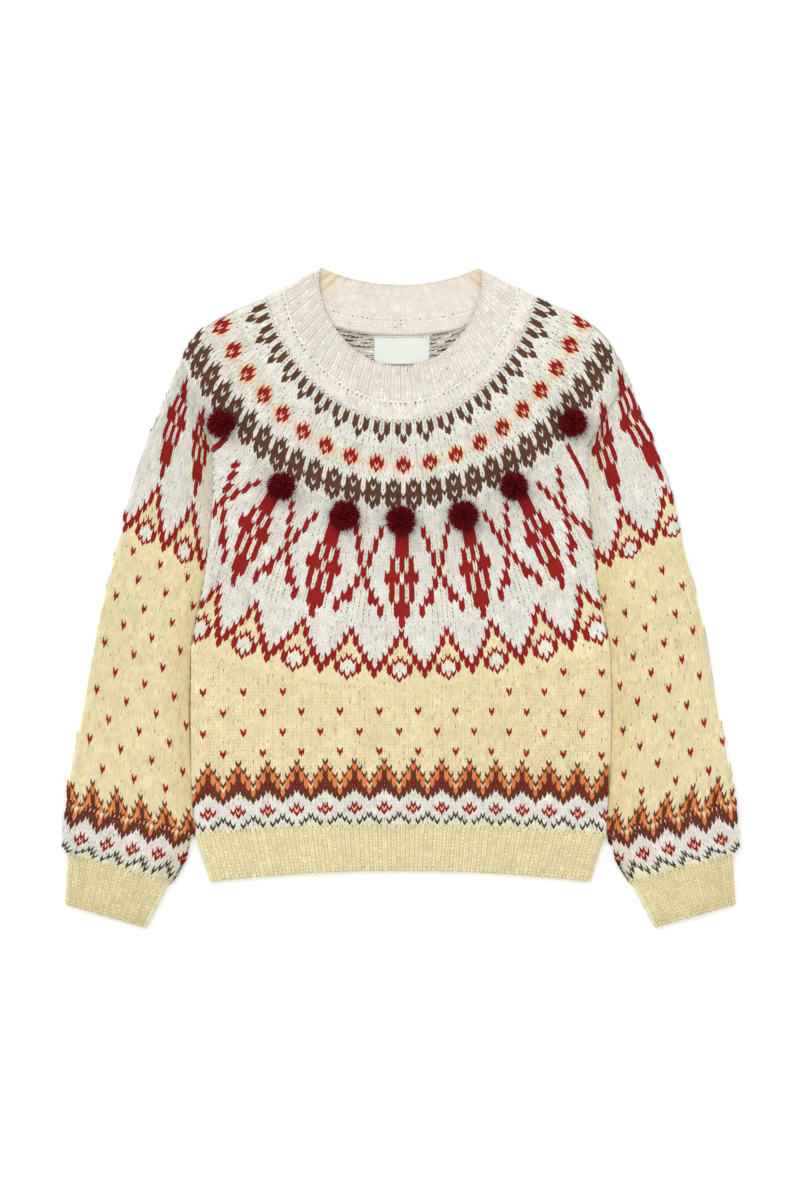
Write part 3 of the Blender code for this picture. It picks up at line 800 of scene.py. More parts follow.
class Stitches:
    """Collects the stitches of a piece on one face of the cloth."""

    def __init__(self, layer, fold_z=FOLD_Z):
        self.layer = layer
        self.fold_z = fold_z
        self.rows = {}
        self.rng = np.random.default_rng(SEED)

    def add(self, row, p, s, across, up, colour, shape, relief):
        """Stitches at places p, distances s from the row's origin."""
        facts = (*row.start, *row.end, row.length, row.swell, row.neck, row.flip, relief)
        index = np.array([LETTERS.index(letter) for letter in colour])
        entry = (p, across, up, s + row.origin, np.tile(facts, (len(p), 1)), index)
        self.rows.setdefault(shape, []).append(entry)

    def build(self, rng):
        """Points in millimetres, triangles, and a slot for each triangle."""
        points, faces, slots, tints = [], [], [], []
        first = 0
        for name, entries in self.rows.items():
            template, pattern = SHAPES[name]
            p, across, up, along, facts, index = (np.concatenate(part) for part in zip(*entries))
            proud = np.array([PROUD.get(letter, 1.0) for letter in LETTERS])[index][:, None]
            count = len(p)
            wobble = rng.normal(0.0, 1.0, (count, 4)) * WOBBLE
            width = np.hypot(across[:, 0], across[:, 1])[:, None]
            a = template[None, :, 0] * (1.0 + wobble[:, :1]) * proud + wobble[:, 1:2]
            b = template[None, :, 1] + wobble[:, 2:3]
            height = YARN * template[None, :, 2] * (1.0 + wobble[:, 3:4]) + (proud - 1.0)
            row = [facts[:, j:j + 1] for j in range(9)]
            flip, relief = row[7:]
            x = p[:, :1] + a * across[:, :1] + b * up[:, :1]
            y = p[:, 1:] + a * across[:, 1:] + b * up[:, 1:]
            along = along[:, None] + flip * a * width
            tangent = [flip * across[:, j:j + 1] / width for j in (0, 1)]
            placed = on_cloth(self.layer, self.fold_z, x, y, along, row[:7], height + relief, tangent)
            points.append(np.stack(placed, axis=2).reshape(-1, 3))
            turned = pattern[:, ::-1] if self.layer == "back" else pattern
            size = len(template)
            start = (np.arange(count) * size)[:, None, None] + first
            faces.append((turned[None] + start).reshape(-1, 3))
            slots.append(np.repeat(index, len(pattern)))
            shade = 1.0 + SHADE_SPREAD * rng.normal(size=(count, 1, 1))
            shade = shade + HUE_SPREAD * rng.normal(size=(count, 1, 3))
            # Painted shade: sleeve stitches near the underarm fold are darkened, as the body's fold
            # shades them
            under = np.where(row[0] >= UNDERARM_ROLL, np.exp(-((along / PAINTED_SHADE_WIDTH) ** 2)), 0.0)
            tints.append((shade * (1.0 - under[..., None] * PAINTED_FOLD_SHADE)).reshape(-1, 3))
            first += count * size
        return [np.concatenate(part) for part in (points, faces, slots, tints)]


# Letters that a small speck on the cloth may have
SPECK_YARNS = "BgAgg"
# This near a row's ends, in millimetres, there are no specks; the outer letter goes there
EDGE_CLEAR = 7.0


def lay_row(stitches, row_of, wales, row, chart, shape="knit", relief=0.0, keep=None,
            margins=(0.25, 0.25), specks=None, outer=None):
    """Lays one row of stitches, whose letters come from chart(row, stitch)."""
    course = row_of(row)
    k = np.arange(-LAID_STITCHES, LAID_STITCHES + 1)
    s = wales(row, k)
    width = np.abs(np.gradient(s))
    inside = s + course.origin > margins[0] * width
    inside &= s + course.origin < course.length - margins[1] * width
    k, s, half = k[inside], s[inside], width[inside] / 2
    p = course.at(s)
    across = course.flip * (course.at(s + half) - course.at(s - half))
    top, bottom = (row_of(r).at(wales(r, k)) for r in (row - 1, row + 1))
    up = (top - bottom) / 2.0
    chosen = np.array([chart(row, int(j)) for j in k])
    kept = chosen != " "
    if keep is not None:
        kept &= keep(p)
    if not kept.any():
        return
    if outer:
        chosen[course.length - course.origin - s < EDGE_CLEAR] = outer
    parts = (p, s, across, up, chosen)
    dark = np.isin(chosen, list(PROUD))
    solid = "solid" if shape == "knit" else shape
    for some, kind in ((kept & ~dark, shape), (kept & dark, solid)):
        if some.any():
            stitches.add(course, *(part[some] for part in parts), kind, relief)
    if specks and stitches.layer != "back":
        kept &= (s + course.origin > EDGE_CLEAR) & (course.length - course.origin - s > EDGE_CLEAR)
        share = np.array([specks.get(letter, 0.0) for letter in chosen])
        kept &= stitches.rng.random(len(k)) < share
        if kept.any():
            dots = stitches.rng.integers(len(SPECK_YARNS), size=len(k))
            chosen = np.array(list(SPECK_YARNS))[dots]
            parts = (p, s, across, up, chosen)
            stitches.add(course, *(part[kept] for part in parts), "speck", relief)


# Materials
def noise(nodes, scale, detail):
    texture = nodes.new("ShaderNodeTexNoise")
    texture.inputs["Scale"].default_value = scale
    texture.inputs["Detail"].default_value = detail
    return texture


def yarn_material(name, colour, grain=GRAIN):
    """Wool yarn: fibres finer than a stitch, uneven dye and a soft sheen."""
    material = bpy.data.materials.new(name)
    material.use_nodes = True
    nodes = material.node_tree.nodes
    links = material.node_tree.links
    shader = nodes["Principled BSDF"]
    for socket, value in (
        ("Roughness", 0.95),
        ("Sheen Weight", 0.25),
        ("Sheen Roughness", 0.5),
        ("Sheen Tint", (*srgb(colour), 1.0)),
        ("Specular IOR Level", 0.10),
    ):
        shader.inputs[socket].default_value = value
    place = nodes.new("ShaderNodeTexCoord")
    fibre = noise(nodes, 900.0, 3.0)
    cloud = noise(nodes, 60.0, 2.0)
    both = nodes.new("ShaderNodeMix")
    both.inputs["Factor"].default_value = 0.45
    tint = nodes.new("ShaderNodeMix")
    tint.data_type = "RGBA"
    base = np.array(srgb(colour))
    tint.inputs["A"].default_value = (*(base * (1.0 - 1.6 * grain)), 1.0)
    tint.inputs["B"].default_value = (*np.minimum(base * (1.0 + 1.6 * grain), 1.0), 1.0)
    bump = nodes.new("ShaderNodeBump")
    bump.inputs["Strength"].default_value = 0.35
    bump.inputs["Distance"].default_value = 0.0003
    links.new(place.outputs["Object"], fibre.inputs["Vector"])
    links.new(place.outputs["Object"], cloud.inputs["Vector"])
    links.new(fibre.outputs["Fac"], both.inputs["A"])
    links.new(cloud.outputs["Fac"], both.inputs["B"])
    links.new(both.outputs["Result"], tint.inputs["Factor"])
    # The tint attribute multiplies the colour: random tone from stitch to stitch, and painted shade
    # beside the body's fold
    tone_and_fold_shade = nodes.new("ShaderNodeMix")
    tone_and_fold_shade.data_type = "RGBA"
    tone_and_fold_shade.blend_type = "MULTIPLY"
    tone_and_fold_shade.inputs["Factor"].default_value = 1.0
    tinted = nodes.new("ShaderNodeAttribute")
    tinted.attribute_name = "tint"
    links.new(tint.outputs["Result"], tone_and_fold_shade.inputs["A"])
    links.new(tinted.outputs["Color"], tone_and_fold_shade.inputs["B"])
    links.new(tone_and_fold_shade.outputs["Result"], shader.inputs["Base Color"])
    links.new(fibre.outputs["Fac"], bump.inputs["Height"])
    links.new(bump.outputs["Normal"], shader.inputs["Normal"])
    return material


MATERIALS = {letter: yarn_material(name, colour) for letter, (name, colour) in YARNS.items()}
collection = bpy.context.scene.collection


def make_mesh(name, points, faces, slots, materials, tints=None):
    """A piece from points in millimetres and faces that all have the same number of sides."""
    mesh = bpy.data.meshes.new(name)
    mesh.vertices.add(len(points))
    mesh.vertices.foreach_set("co", (points * MM).astype(np.float32).ravel())
    count, sides = faces.shape
    mesh.loops.add(count * sides)
    mesh.loops.foreach_set("vertex_index", faces.astype(np.int32).ravel())
    mesh.polygons.add(count)
    mesh.polygons.foreach_set("loop_start", np.arange(0, count * sides, sides, dtype=np.int32))
    for material in materials:
        mesh.materials.append(material)
    mesh.polygons.foreach_set("material_index", slots.astype(np.int32))
    mesh.polygons.foreach_set("use_smooth", np.full(count, True))
    mesh.update(calc_edges=True)
    tint = mesh.attributes.new("tint", "FLOAT_COLOR", "POINT")
    tints = np.ones((len(points), 3)) if tints is None else tints
    tint.data.foreach_set("color", np.hstack([tints, np.ones((len(points), 1))]).ravel())
    uv = mesh.uv_layers.new(name="OFBake")
    oblique = points[:, :2] + 0.35 * points[:, 2:]
    oblique = oblique[faces.ravel()]
    low, high = oblique.min(0), oblique.max(0)
    uv.data.foreach_set("uv", ((oblique - low) / (high - low) * 0.998 + 0.001).ravel())
    obj = bpy.data.objects.new(name, mesh)
    collection.objects.link(obj)
    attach(obj, "root")
    return obj


def stitch_piece(name, *parts):
    """One piece from the stitches of several faces. Only the yarns in it become its slots."""
    rng = np.random.default_rng(SEED)
    collected = []
    first = 0
    for part in parts:
        points, faces, slots, tints = part.build(rng)
        collected.append((points, faces + first, slots, tints))
        first += len(points)
    points, faces, slots, tints = (np.concatenate(group) for group in zip(*collected))
    used, slots = np.unique(slots, return_inverse=True)
    materials = [MATERIALS[LETTERS[i]] for i in used]
    return make_mesh(name, points, faces, slots, materials, tints)


# Cloth under the stitches
EDGE_SHARES = np.array((0.0, 0.04, 0.14, 0.32, 0.6, 1.0))


def columns(row, between):
    """Distances along a row, close together where it turns over at its ends."""
    start = EDGE_SHARES * row.start[0]
    end = row.length - EDGE_SHARES[::-1] * row.end[0]
    inner = np.linspace(start[-1], end[0], between + 2)[1:-1]
    return np.concatenate([start, inner, end])


def inset(distance, turn):
    return turn[1] * WALL * np.clip(1.0 - distance / turn[0], 0.0, 1.0)


def cloth_faces(rows, places, layer, fold_z, relief=None):
    """Grids of points on the outer and the inner face, from rows and their columns' distances."""
    outer, inner = [], []
    for row, s in zip(rows, places):
        facts = (*row.start, *row.end, row.length, row.swell, row.neck)
        tangent = (row.at(s - row.origin + 0.5) - row.at(s - row.origin - 0.5)).T
        height = -CLOTH_SINK + (0.0 if relief is None else relief(row, s))
        x, y = row.at(s - row.origin).T
        outer.append(np.stack(on_cloth(layer, fold_z, x, y, s, facts, height, tangent), axis=1))
        s_in = s + inset(s, row.start) - inset(row.length - s, row.end)
        x, y = row.at(s_in - row.origin).T
        if layer == "front":
            under = on_cloth("front", fold_z, x, y, s, facts, FRONT_SINK, tangent)[2]
            lift = lift_of(s, *row.start)[0] * lift_of(row.length - s, *row.end)[0]
            z = under - WALL * lift
        else:
            z = on_cloth("inner", fold_z, x, y, s, facts, 0.0, tangent)[2]
        inner.append(np.stack([x, y, z], axis=1))
    return np.array(outer), np.array(inner)


class Cloth:
    """A closed shell of cloth from patches of its outer face that meet edge to edge."""

    def __init__(self, name):
        self.name = name
        self.outer, self.inner, self.faces, self.slots = [], [], [], []
        self.count = 0

    def patch(self, rows, places, layer, fold_z, letters, relief=None):
        faces = cloth_faces(rows, places, layer, fold_z, relief)
        self.grid(*faces, letters, (layer == "back") != (rows[-1].flip < 0))

    def grid(self, outer, inner, letters, turned):
        down, across = outer.shape[:2]
        index = np.arange(down * across).reshape(down, across) + self.count
        a, b, c, d = index[:-1, :-1], index[1:, :-1], index[1:, 1:], index[:-1, 1:]
        order = (a, d, c, b) if turned else (a, b, c, d)
        self.faces.append(np.stack(order, axis=2).reshape(-1, 4))
        letters = [LETTERS.index(letter) for letter in letters[1:]]
        self.slots.append(np.repeat(letters, across - 1))
        self.outer.append(outer.reshape(-1, 3))
        self.inner.append(inner.reshape(-1, 3))
        self.count += down * across

    def build(self, slot, flat, area, with_pieces=()):
        outer, inner = np.concatenate(self.outer), np.concatenate(self.inner)
        faces, slots = np.concatenate(self.faces), np.concatenate(self.slots)
        _, kept, place = np.unique(np.round(outer, 2), axis=0, return_index=True, return_inverse=True)
        outer, inner, faces = outer[kept], inner[kept], place.reshape(-1)[faces]
        edges = [(face[j], face[(j + 1) % 4], n) for n, face in enumerate(faces) for j in range(4)]
        known = {(a, b) for a, b, _ in edges}
        rim = [(a, b, n) for a, b, n in edges if (b, a) not in known]
        count = len(outer)
        walls = np.array([(b, a, a + count, b + count) for a, b, _ in rim])
        rim_slots = slots[[n for _, _, n in rim]]
        faces = np.concatenate([faces, faces[:, ::-1] + count, walls])
        slots = np.concatenate([slots, slots, rim_slots])
        used, slots = np.unique(slots, return_inverse=True)
        materials = [MATERIALS[LETTERS[i]] for i in used]
        obj = make_mesh(self.name + "_cloth", np.concatenate([outer, inner]), faces, slots, materials)
        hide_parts(self.name)
        return obj


# Rows of each piece
front = Half(False)
back = Half(True)
FRONT_Z = FOLD_Z + SEAM / 2
BACK_Z = FOLD_Z - SEAM / 2


NECK_RIB_ROWS = 10
NECK_PLAIN_ROWS = 6
NECK_RIBS_FRONT = 31
NECK_RIBS_BACK = 19
HEM_RIBS = 44
HEM_ROWS = 13
CUFF_RIBS = 15
CUFF_ROWS = 14
RIB_RAISE = 0.18
PURL_SINK = -0.85
INNER_SINK = -0.3
INNER_MARGINS = (1.2, 1.2)
RIB_DEPTH = 0.45
NECK_SPECKS = {"c": 0.04}
DOT_LINE_SPECKS = {"c": 0.5}


class Neck:
    """The neckband's rows on one side: ribbed rows, a ridge and plain rows to the seam."""

    def __init__(self, courses, raised):
        self.table = [courses[key] for key in ("neck_edge", "rib_end", "band_seam")]
        self.raised = raised

    def at(self, t):
        course = through(self.table, t)
        raised = self.raised * max(0.0, 1.0 - t)
        return Row(course_line(course, QS), WHOLE, WHOLE, neck=raised)

    @cache
    def __call__(self, row):
        if row < NECK_RIB_ROWS:
            return self.at((row + 0.5) / NECK_RIB_ROWS)
        return self.at(1.0 + (row - NECK_RIB_ROWS + 0.4) / NECK_PLAIN_ROWS)


def rib_relief(count):
    """Cloth under a rib stands up below its knit wales and sinks below its purl wales."""
    def relief(row, s):
        phase = s / row.length * count
        return -RIB_DEPTH + RIB_DEPTH * np.cos(np.pi * (phase - 0.5))
    return relief


def lay_ribs(stitches, row_of, count, rows, letter, sink=PURL_SINK, margins=(0.1, 0.1)):
    """One knit wale and one purl wale by turns."""
    wales = shared(row_of, count)
    for row in range(rows):
        for k_rest, shape, relief in ((0, "rib", RIB_RAISE), (1, "purl", sink)):
            def chart(row, k, k_rest=k_rest):
                return letter(row, k) if k % 2 == k_rest else " "

            lay_row(
                stitches, row_of, wales, row, chart, shape, relief,
                margins=margins, specks=NECK_SPECKS,
            )


def rib_letter(row, k):
    return "q" if k % 2 else "r"


def hem_row(row):
    t = (row + 0.5) / HEM_ROWS
    top = (HEM_TOP[0], float(side_x(HEM_TOP[1])), *HEM_TOP[1:])
    bottom = (HEM_BOTTOM[0], HEM_BOTTOM_X, *HEM_BOTTOM[1:])
    course = [a + (b - a) * t for a, b in zip(top, bottom)]
    swell = BODY_SWELL * (1.0 - min(max(t, 0.0), 1.0))
    return body_row(course, swell)


def cuff_row(side):
    def row_of(row):
        t = (row + 0.5) / CUFF_ROWS
        ax, ay, bx, by = (a + (b - a) * t for a, b in zip(*CUFF_COURSES))
        line = straight_line(((ax, ay), (bx, by)), side)
        return Row(line, WHOLE, WHOLE, side=side)
    return row_of


def sleeve_rows(side):
    """Rows of a sleeve below the yoke: their function and their number."""
    rows, table = sleeve_lines(side)
    first = rows[0].line[0] * 2 - rows[1].line[0], rows[0].line[-1] * 2 - rows[1].line[-1]
    last = rows[-1].line[0] * 2 - rows[-2].line[0], rows[-1].line[-1] * 2 - rows[-2].line[-1]
    before = Row(straight_line(first, 1.0), rows[0].start, WHOLE, SLEEVE_SWELL, side=side)
    after = Row(straight_line(last, 1.0), rows[0].start, WHOLE, SLEEVE_SWELL, side=side)
    placed = [before, *rows, after]

    def row_of(row):
        return placed[min(max(row + 1, 0), len(placed) - 1)]
    return row_of, len(rows)


def even_rows(half):
    def row_of(row):
        return half.full(min(max(row, 0), FULL_ROWS))
    return row_of


def left_of(p):
    return p[:, 0] < 0.0


def right_of(p):
    return p[:, 0] >= 0.0


SIDES = (("left", -1, left_of), ("right", 1, right_of))


def ring_wales(row_of):
    """First row, the row after the last, and wales of each ring of the yoke."""
    return [
        (first, end, even(row_of, row, width, px(middle, 0)[0] / width))
        for *_, first, end, row, width, middle in RINGS
    ]


def fold_at(half, row):
    """How far from the middle a row passes over the side folds."""
    return course_line(half.full_course(row), np.array([FOLD_SHARE]))[0][0]


RING_SPECKS = {"w": 0.5, "p": 0.8, "h": 0.1}
MOTIF_SPECKS = {"w": 0.18, "p": 0.9, "y": 0.10}
PLAIN_SPECKS = {"y": 0.09, "w": 0.12, "p": 0.3}
# How far, in stitches, a row stops from its ends: negative where it turns in under a fold
FOLD_MARGINS = (-0.1, -0.1)
UNDERARM_MARGINS = (-0.45, 0.18)


def lay_yoke(half, sides, shape, motif_wales, border_wales, rings):
    """The rings of the yoke, then its motifs between the folds, then those on the sleeves."""
    for first_row, last_row, wales in rings:
        for row in range(first_row, last_row):
            for part, (_, _, keep) in zip(sides, SIDES):
                lay_row(
                    part, even_rows(half), wales, row, ring_chart, shape, keep=keep,
                    specks=RING_SPECKS,
                )
    for row in range(MOTIF_START, LAST_YOKE_ROW + 1):
        upper = row < BORDER_START
        wales, chart = (motif_wales, motif) if upper else (border_wales, border)
        fold = fold_at(half, row) if row < FULL_ROWS else np.inf
        for part, (_, _, keep) in zip(sides, SIDES):
            def inside(p, keep=keep, fold=fold):
                return keep(p) & (np.abs(p[:, 0]) < fold)

            lay_row(
                part, half.body, wales, row, chart, shape, keep=inside,
                margins=FOLD_MARGINS, specks=MOTIF_SPECKS,
            )
    for part, (name, side, _) in zip(sides, SIDES):
        wales = anchored(SLEEVE_AXES[name], partial(front.sleeve, side=side))
        for row in range(MOTIF_START, LAST_YOKE_ROW + 1):
            upper = row < BORDER_START
            lay_row(
                part, partial(half.sleeve, side=side), wales, row,
                sleeve_motif if upper else border, shape,
                margins=UNDERARM_MARGINS, specks=MOTIF_SPECKS,
                outer="w" if upper and half.back else None,
            )


front_motifs = anchored(MOTIF_AXES, front.body)
front_border = anchored(BORDER_AXES, front.body)
front_rings = ring_wales(even_rows(front))
yoke_front_sides = [Stitches("front", FRONT_Z) for _ in SIDES]
lay_yoke(front, yoke_front_sides, "knit", front_motifs, front_border, front_rings)
yoke_back_sides = [Stitches("back", BACK_Z) for _ in SIDES]
lay_yoke(
    back,
    yoke_back_sides,
    "plain",
    behind(front_motifs, front.body, back.body),
    behind(front_border, front.body, back.body),
    [
        (first, end, behind(wales, even_rows(front), even_rows(back)))
        for first, end, wales in front_rings
    ],
)

# The body, in nearly straight rows that the yoke's border cuts off
BODY_ROWS = 70
# Share of a row that the body keeps clear of the border's last row
BORDER_CLEAR = 0.35


def down_row(row):
    return body_straight(BODY_ROWS - row)


def body_wales(row, k):
    course = down_row(row)
    known = []
    for stitch, x in BODY_WALES:
        x = px(x, 0)[0]
        if abs(x) < course.line[-1, 0]:
            s = float(np.interp(x, course.line[:, 0], course.along)) - course.origin
            known.append((stitch, s))
    return spread_wales(known, k)


def body_chart(row, k):
    return band(BODY_ROWS - row, k)


def body_lice(row, k):
    return lice(BODY_ROWS - row, k)


def lay_body(half, sides, shape):
    edge = half.body(LAST_YOKE_ROW).line
    for row in range(BODY_ROWS + 1):
        for part, (_, _, keep) in zip(sides, SIDES):
            def inside(p, keep=keep):
                border_y = np.interp(p[:, 0], edge[:, 0], edge[:, 1])
                return keep(p) & (p[:, 1] < border_y - BODY_PITCH * BORDER_CLEAR)

            lay_row(
                part, down_row, body_wales, row, body_chart, shape, keep=inside,
                margins=FOLD_MARGINS, specks=PLAIN_SPECKS,
            )
            lay_row(part, down_row, body_wales, row, body_lice, "lone", keep=inside)


body_front_sides = [Stitches("front", FRONT_Z) for _ in SIDES]
lay_body(front, body_front_sides, "knit")
body_back_sides = [Stitches("back", BACK_Z) for _ in SIDES]
lay_body(back, body_back_sides, "plain")

pieces = {}
for (name, _, _), *parts in zip(
    SIDES, yoke_front_sides, yoke_back_sides, body_front_sides, body_back_sides
):
    for node, part in zip(("yoke_front", "yoke_back", "body_front", "body_back"), parts):
        pieces.setdefault(node, []).append(stitch_piece(f"{node}_stitches_{name}", part))

# The sleeves, tubes whose upper and under rows are alike
SLEEVE_PEAK = -2
FIRST_LICE_ROW = {"left": 1, "right": 5}
for name, side, _ in SIDES:
    row_of, count = sleeve_rows(side)
    marks = SLEEVE_WALES[name]
    first_lice = FIRST_LICE_ROW[name]
    axis_rows = (first_lice, count - BAND_ROWS, count - BAND_ROWS + DIAMOND_ROW)
    axes = tuple(zip(axis_rows, marks))
    wales = anchored(axes, row_of)

    def sleeve_chart(row, k, count=count):
        return band(count - 1 - row, k - SLEEVE_PEAK + PEAK)

    def sleeve_lice(row, k, count=count, first_lice=first_lice):
        steps, rest = divmod(row - first_lice, LICE_STEP)
        if rest == 0 and row < count - BAND_ROWS - 1 and (k - (4 if steps % 2 else 0)) % 8 == 0:
            return "R"
        return " "

    upper, under = Stitches("front"), Stitches("back")
    for row in range(count):
        lay_row(
            upper, row_of, wales, row, sleeve_chart,
            margins=UNDERARM_MARGINS, specks=PLAIN_SPECKS,
        )
        lay_row(under, row_of, wales, row, sleeve_chart, "plain")
        for part in (upper, under):
            lay_row(part, row_of, wales, row, sleeve_lice, "lone")
    pieces[f"sleeve_{name}"] = [
        stitch_piece(f"sleeve_{name}_stitches", upper),
        stitch_piece(f"sleeve_{name}_stitches_under", under),
    ]
    upper, under = Stitches("front"), Stitches("back")
    for part in (upper, under):
        lay_ribs(part, cuff_row(side), CUFF_RIBS * 2, CUFF_ROWS, rib_letter)
    pieces[f"cuff_{name}"] = [stitch_piece(f"cuff_{name}_stitches", upper, under)]

hem_upper, hem_under = Stitches("front"), Stitches("back")
for part in (hem_upper, hem_under):
    lay_ribs(part, hem_row, HEM_RIBS * 2, HEM_ROWS, rib_letter)
pieces["hem_rib"] = [stitch_piece("hem_rib_stitches", hem_upper, hem_under)]

# The neckband: its front, its underside and the inner face of its back part, whose outermost
# wales have painted shade where the fold shades them
PAINTED_SHADE_WALES = 4.6
NECK_WALE = 4.7
neck_front = Neck(FRONT_COURSES, NECK_TOP - FLAT_TOP)
neck_back = Neck(BACK_COURSES, 0.0)
neck_parts = []
for layer, row_of, ribs in (
    ("front", neck_front, NECK_RIBS_FRONT),
    ("back", neck_back, NECK_RIBS_BACK),
    ("inner", neck_back, NECK_RIBS_BACK),
):
    part = Stitches(layer)

    def letter(row, k, ribs=ribs, layer=layer):
        near = min(k, ribs * 2 - 1 - k)
        # Painted shade: the inner face's outermost wales take the darkened cream
        if layer == "inner" and near < PAINTED_SHADE_WALES and row < NECK_RIB_ROWS - 1:
            return "s"
        return "d" if k % 2 and row < NECK_RIB_ROWS else "c"

    if layer == "inner":
        lay_ribs(part, row_of, ribs * 2, NECK_RIB_ROWS, letter, INNER_SINK, INNER_MARGINS)
    else:
        lay_ribs(part, row_of, ribs * 2, NECK_RIB_ROWS, letter)
    wales = even(row_of, NECK_RIB_ROWS + 3, NECK_WALE)
    last_row = NECK_RIB_ROWS + NECK_PLAIN_ROWS + (1 if layer == "inner" else 0)
    for row in range(NECK_RIB_ROWS, last_row):
        ridge = row == NECK_RIB_ROWS or layer == "inner"
        lay_row(
            part, row_of, wales, row, lambda row, k: "c", "purl" if ridge else "knit",
            specks=DOT_LINE_SPECKS if row == NECK_RIB_ROWS else NECK_SPECKS,
        )
    neck_parts.append(part)
pieces["neckband"] = [stitch_piece("neckband_stitches", *neck_parts)]

# Strands on the inside of the back yoke, seen through the neck
FLOAT_WALE = 4.4
FLOAT_ROWS = 9
FLOAT_RAISE = 0.25
inside = Stitches("inner", BACK_Z)
back_rows = even_rows(back)
wales = even(back_rows, 3, FLOAT_WALE)
rng = np.random.default_rng(SEED + 1)
FLOAT_YARNS = "BBBpgAccwB"


def float_chart(row, k):
    return FLOAT_YARNS[int(rng.integers(len(FLOAT_YARNS)))]


LABEL_X = px(402, 0)[0]
NECK_HALF_WIDTH = 92.0


def in_neck(p):
    """Places that show through the neck and aren't under the label."""
    x, y = p.T
    beside = np.abs(x - LABEL_X) > LABEL_WIDTH / 2 - 3.0
    clear = beside | (y > LABEL_TOP_Y) | (y < LABEL_BOTTOM_Y - 2.0)
    return (np.abs(x) < NECK_HALF_WIDTH) & clear


for row in range(FLOAT_ROWS):
    lay_row(inside, back_rows, wales, row, lambda row, k: "c", "purl", keep=in_neck)
    lay_row(inside, back_rows, wales, row, float_chart, "float", FLOAT_RAISE, keep=in_neck)
pieces["yoke_back"].append(stitch_piece("yoke_back_floats", inside))


# Cloth shells
YOKE_TOP_ROW = -0.48
TONGUE_OVERLAP = 0.62
TONGUE_ROWS = [*range(FULL_ROWS + 2, LAST_YOKE_ROW, 3), LAST_YOKE_ROW + TONGUE_OVERLAP]
LAST_WHITE_ROW = 66
BETWEEN = 30
OUTSIDE = 14


def yoke_cloth(half, layer, fold_z, name):
    """The yoke's rings, with a tongue over the body and one over each sleeve."""
    cloth = Cloth(name)
    rows = [half.full(row) for row in (YOKE_TOP_ROW, *range(3, FULL_ROWS, 3), FULL_ROWS)]
    low, high = (int(np.argmin(np.abs(QS - q))) for q in (-FOLD_SHARE, FOLD_SHARE))
    places = []
    for row in rows:
        fold = row.along[low]
        side = [*EDGE_SHARES * OUTLINE_ROLL, *np.linspace(OUTLINE_ROLL, fold, OUTSIDE)[1:]]
        middle = np.linspace(fold, row.along[high], BETWEEN + 2 * len(EDGE_SHARES))
        places.append(np.array([*side[:-1], *middle, *(row.length - s for s in side[-2::-1])]))
    outer, inner = cloth_faces(rows, places, layer, fold_z)
    turned = layer == "back"
    cloth.grid(outer, inner, ["W"] * len(rows), turned)
    letters = ["W", *("y" if row > LAST_WHITE_ROW else "W" for row in TONGUE_ROWS)]
    corner = len(EDGE_SHARES) + OUTSIDE - 2
    tongues = [([half.body(row) for row in TONGUE_ROWS], slice(corner, -corner), BETWEEN)]
    for side, part in ((-1, slice(corner, None, -1)), (1, slice(-corner - 1, None))):
        rows = [half.sleeve(row, side) for row in TONGUE_ROWS]
        tongues.append((rows, part, corner + 1 - 2 * len(EDGE_SHARES)))
    for rows, part, between in tongues:
        faces = cloth_faces(rows, [columns(row, between) for row in rows], layer, fold_z)
        joined = [
            np.concatenate([grid[-1][part][None], more])
            for grid, more in zip((outer, inner), faces)
        ]
        cloth.grid(*joined, letters, turned != (rows[0].flip < 0))
    return cloth


def tube_cloth(name, rows, between, letters, under_rows=None, relief=None, under_relief=None):
    """A ring of cloth, whose upper and under rows meet at both ends."""
    cloth = Cloth(name)
    under_rows = under_rows or rows
    places = [columns(row, between) for row in rows]
    cloth.patch(rows, places, "front", FOLD_Z, letters, relief)
    places = [columns(row, between) for row in under_rows]
    cloth.patch(under_rows, places, "back", FOLD_Z, letters, under_relief or relief)
    return cloth


yoke_cloth(front, "front", FRONT_Z, "yoke_front").build(
    "white_knit", (0.62, 0.37), 0.139, pieces["yoke_front"]
)
yoke_cloth(back, "back", BACK_Z, "yoke_back").build(
    "white_knit", (0.62, 0.37), 0.139, pieces["yoke_back"]
)
for half, layer, fold_z, name in (
    (front, "front", FRONT_Z, "body_front"),
    (back, "back", BACK_Z, "body_back"),
):
    edge = BODY_COURSES_BACK[-1] if half.back else BODY_COURSES_FRONT[-1]
    table = (edge, BODY_MIDDLE, HEM_TOP)
    rows = []
    for t in np.linspace(0.0, 2.0, 13):
        middle_y, end_y, half_x, half_rise = through(table, t)
        course = (middle_y, float(side_x(end_y)), end_y, half_x, half_rise)
        turn = (BODY_ROLL, 1.0)
        rows.append(Row(course_line(course, QS), turn, turn, BODY_SWELL))
    cloth = Cloth(name)
    letters = ["Y"] * (len(rows) - 3) + ["W"] * 3
    cloth.patch(rows, [columns(row, 40) for row in rows], layer, fold_z, letters)
    cloth.build("yellow_knit", (0.38, 0.17), 0.054, pieces[name])
for name, side, _ in SIDES:
    table = sleeve_lines(side)[1]
    ts = np.linspace(0.0, len(table) - 1.0, 21)
    rows = [sleeve_row_at(table, t, side) for t in ts]
    letters = ["W" if t > SLEEVE_BAND_T else "y" for t in ts]
    tube = tube_cloth(f"sleeve_{name}", rows, 16, letters)
    tube.build("yellow_knit", (0.25, 0.28), 0.062, pieces[f"sleeve_{name}"])
    rows = [cuff_row(side)(row) for row in np.linspace(-0.5, CUFF_ROWS - 0.5, 6)]
    relief = rib_relief(CUFF_RIBS * 2)
    tube = tube_cloth(f"cuff_{name}", rows, CUFF_RIBS * 4, ["Q"] * 6, relief=relief)
    tube.build("yellow_rib", (0.16, 0.045), None, pieces[f"cuff_{name}"])
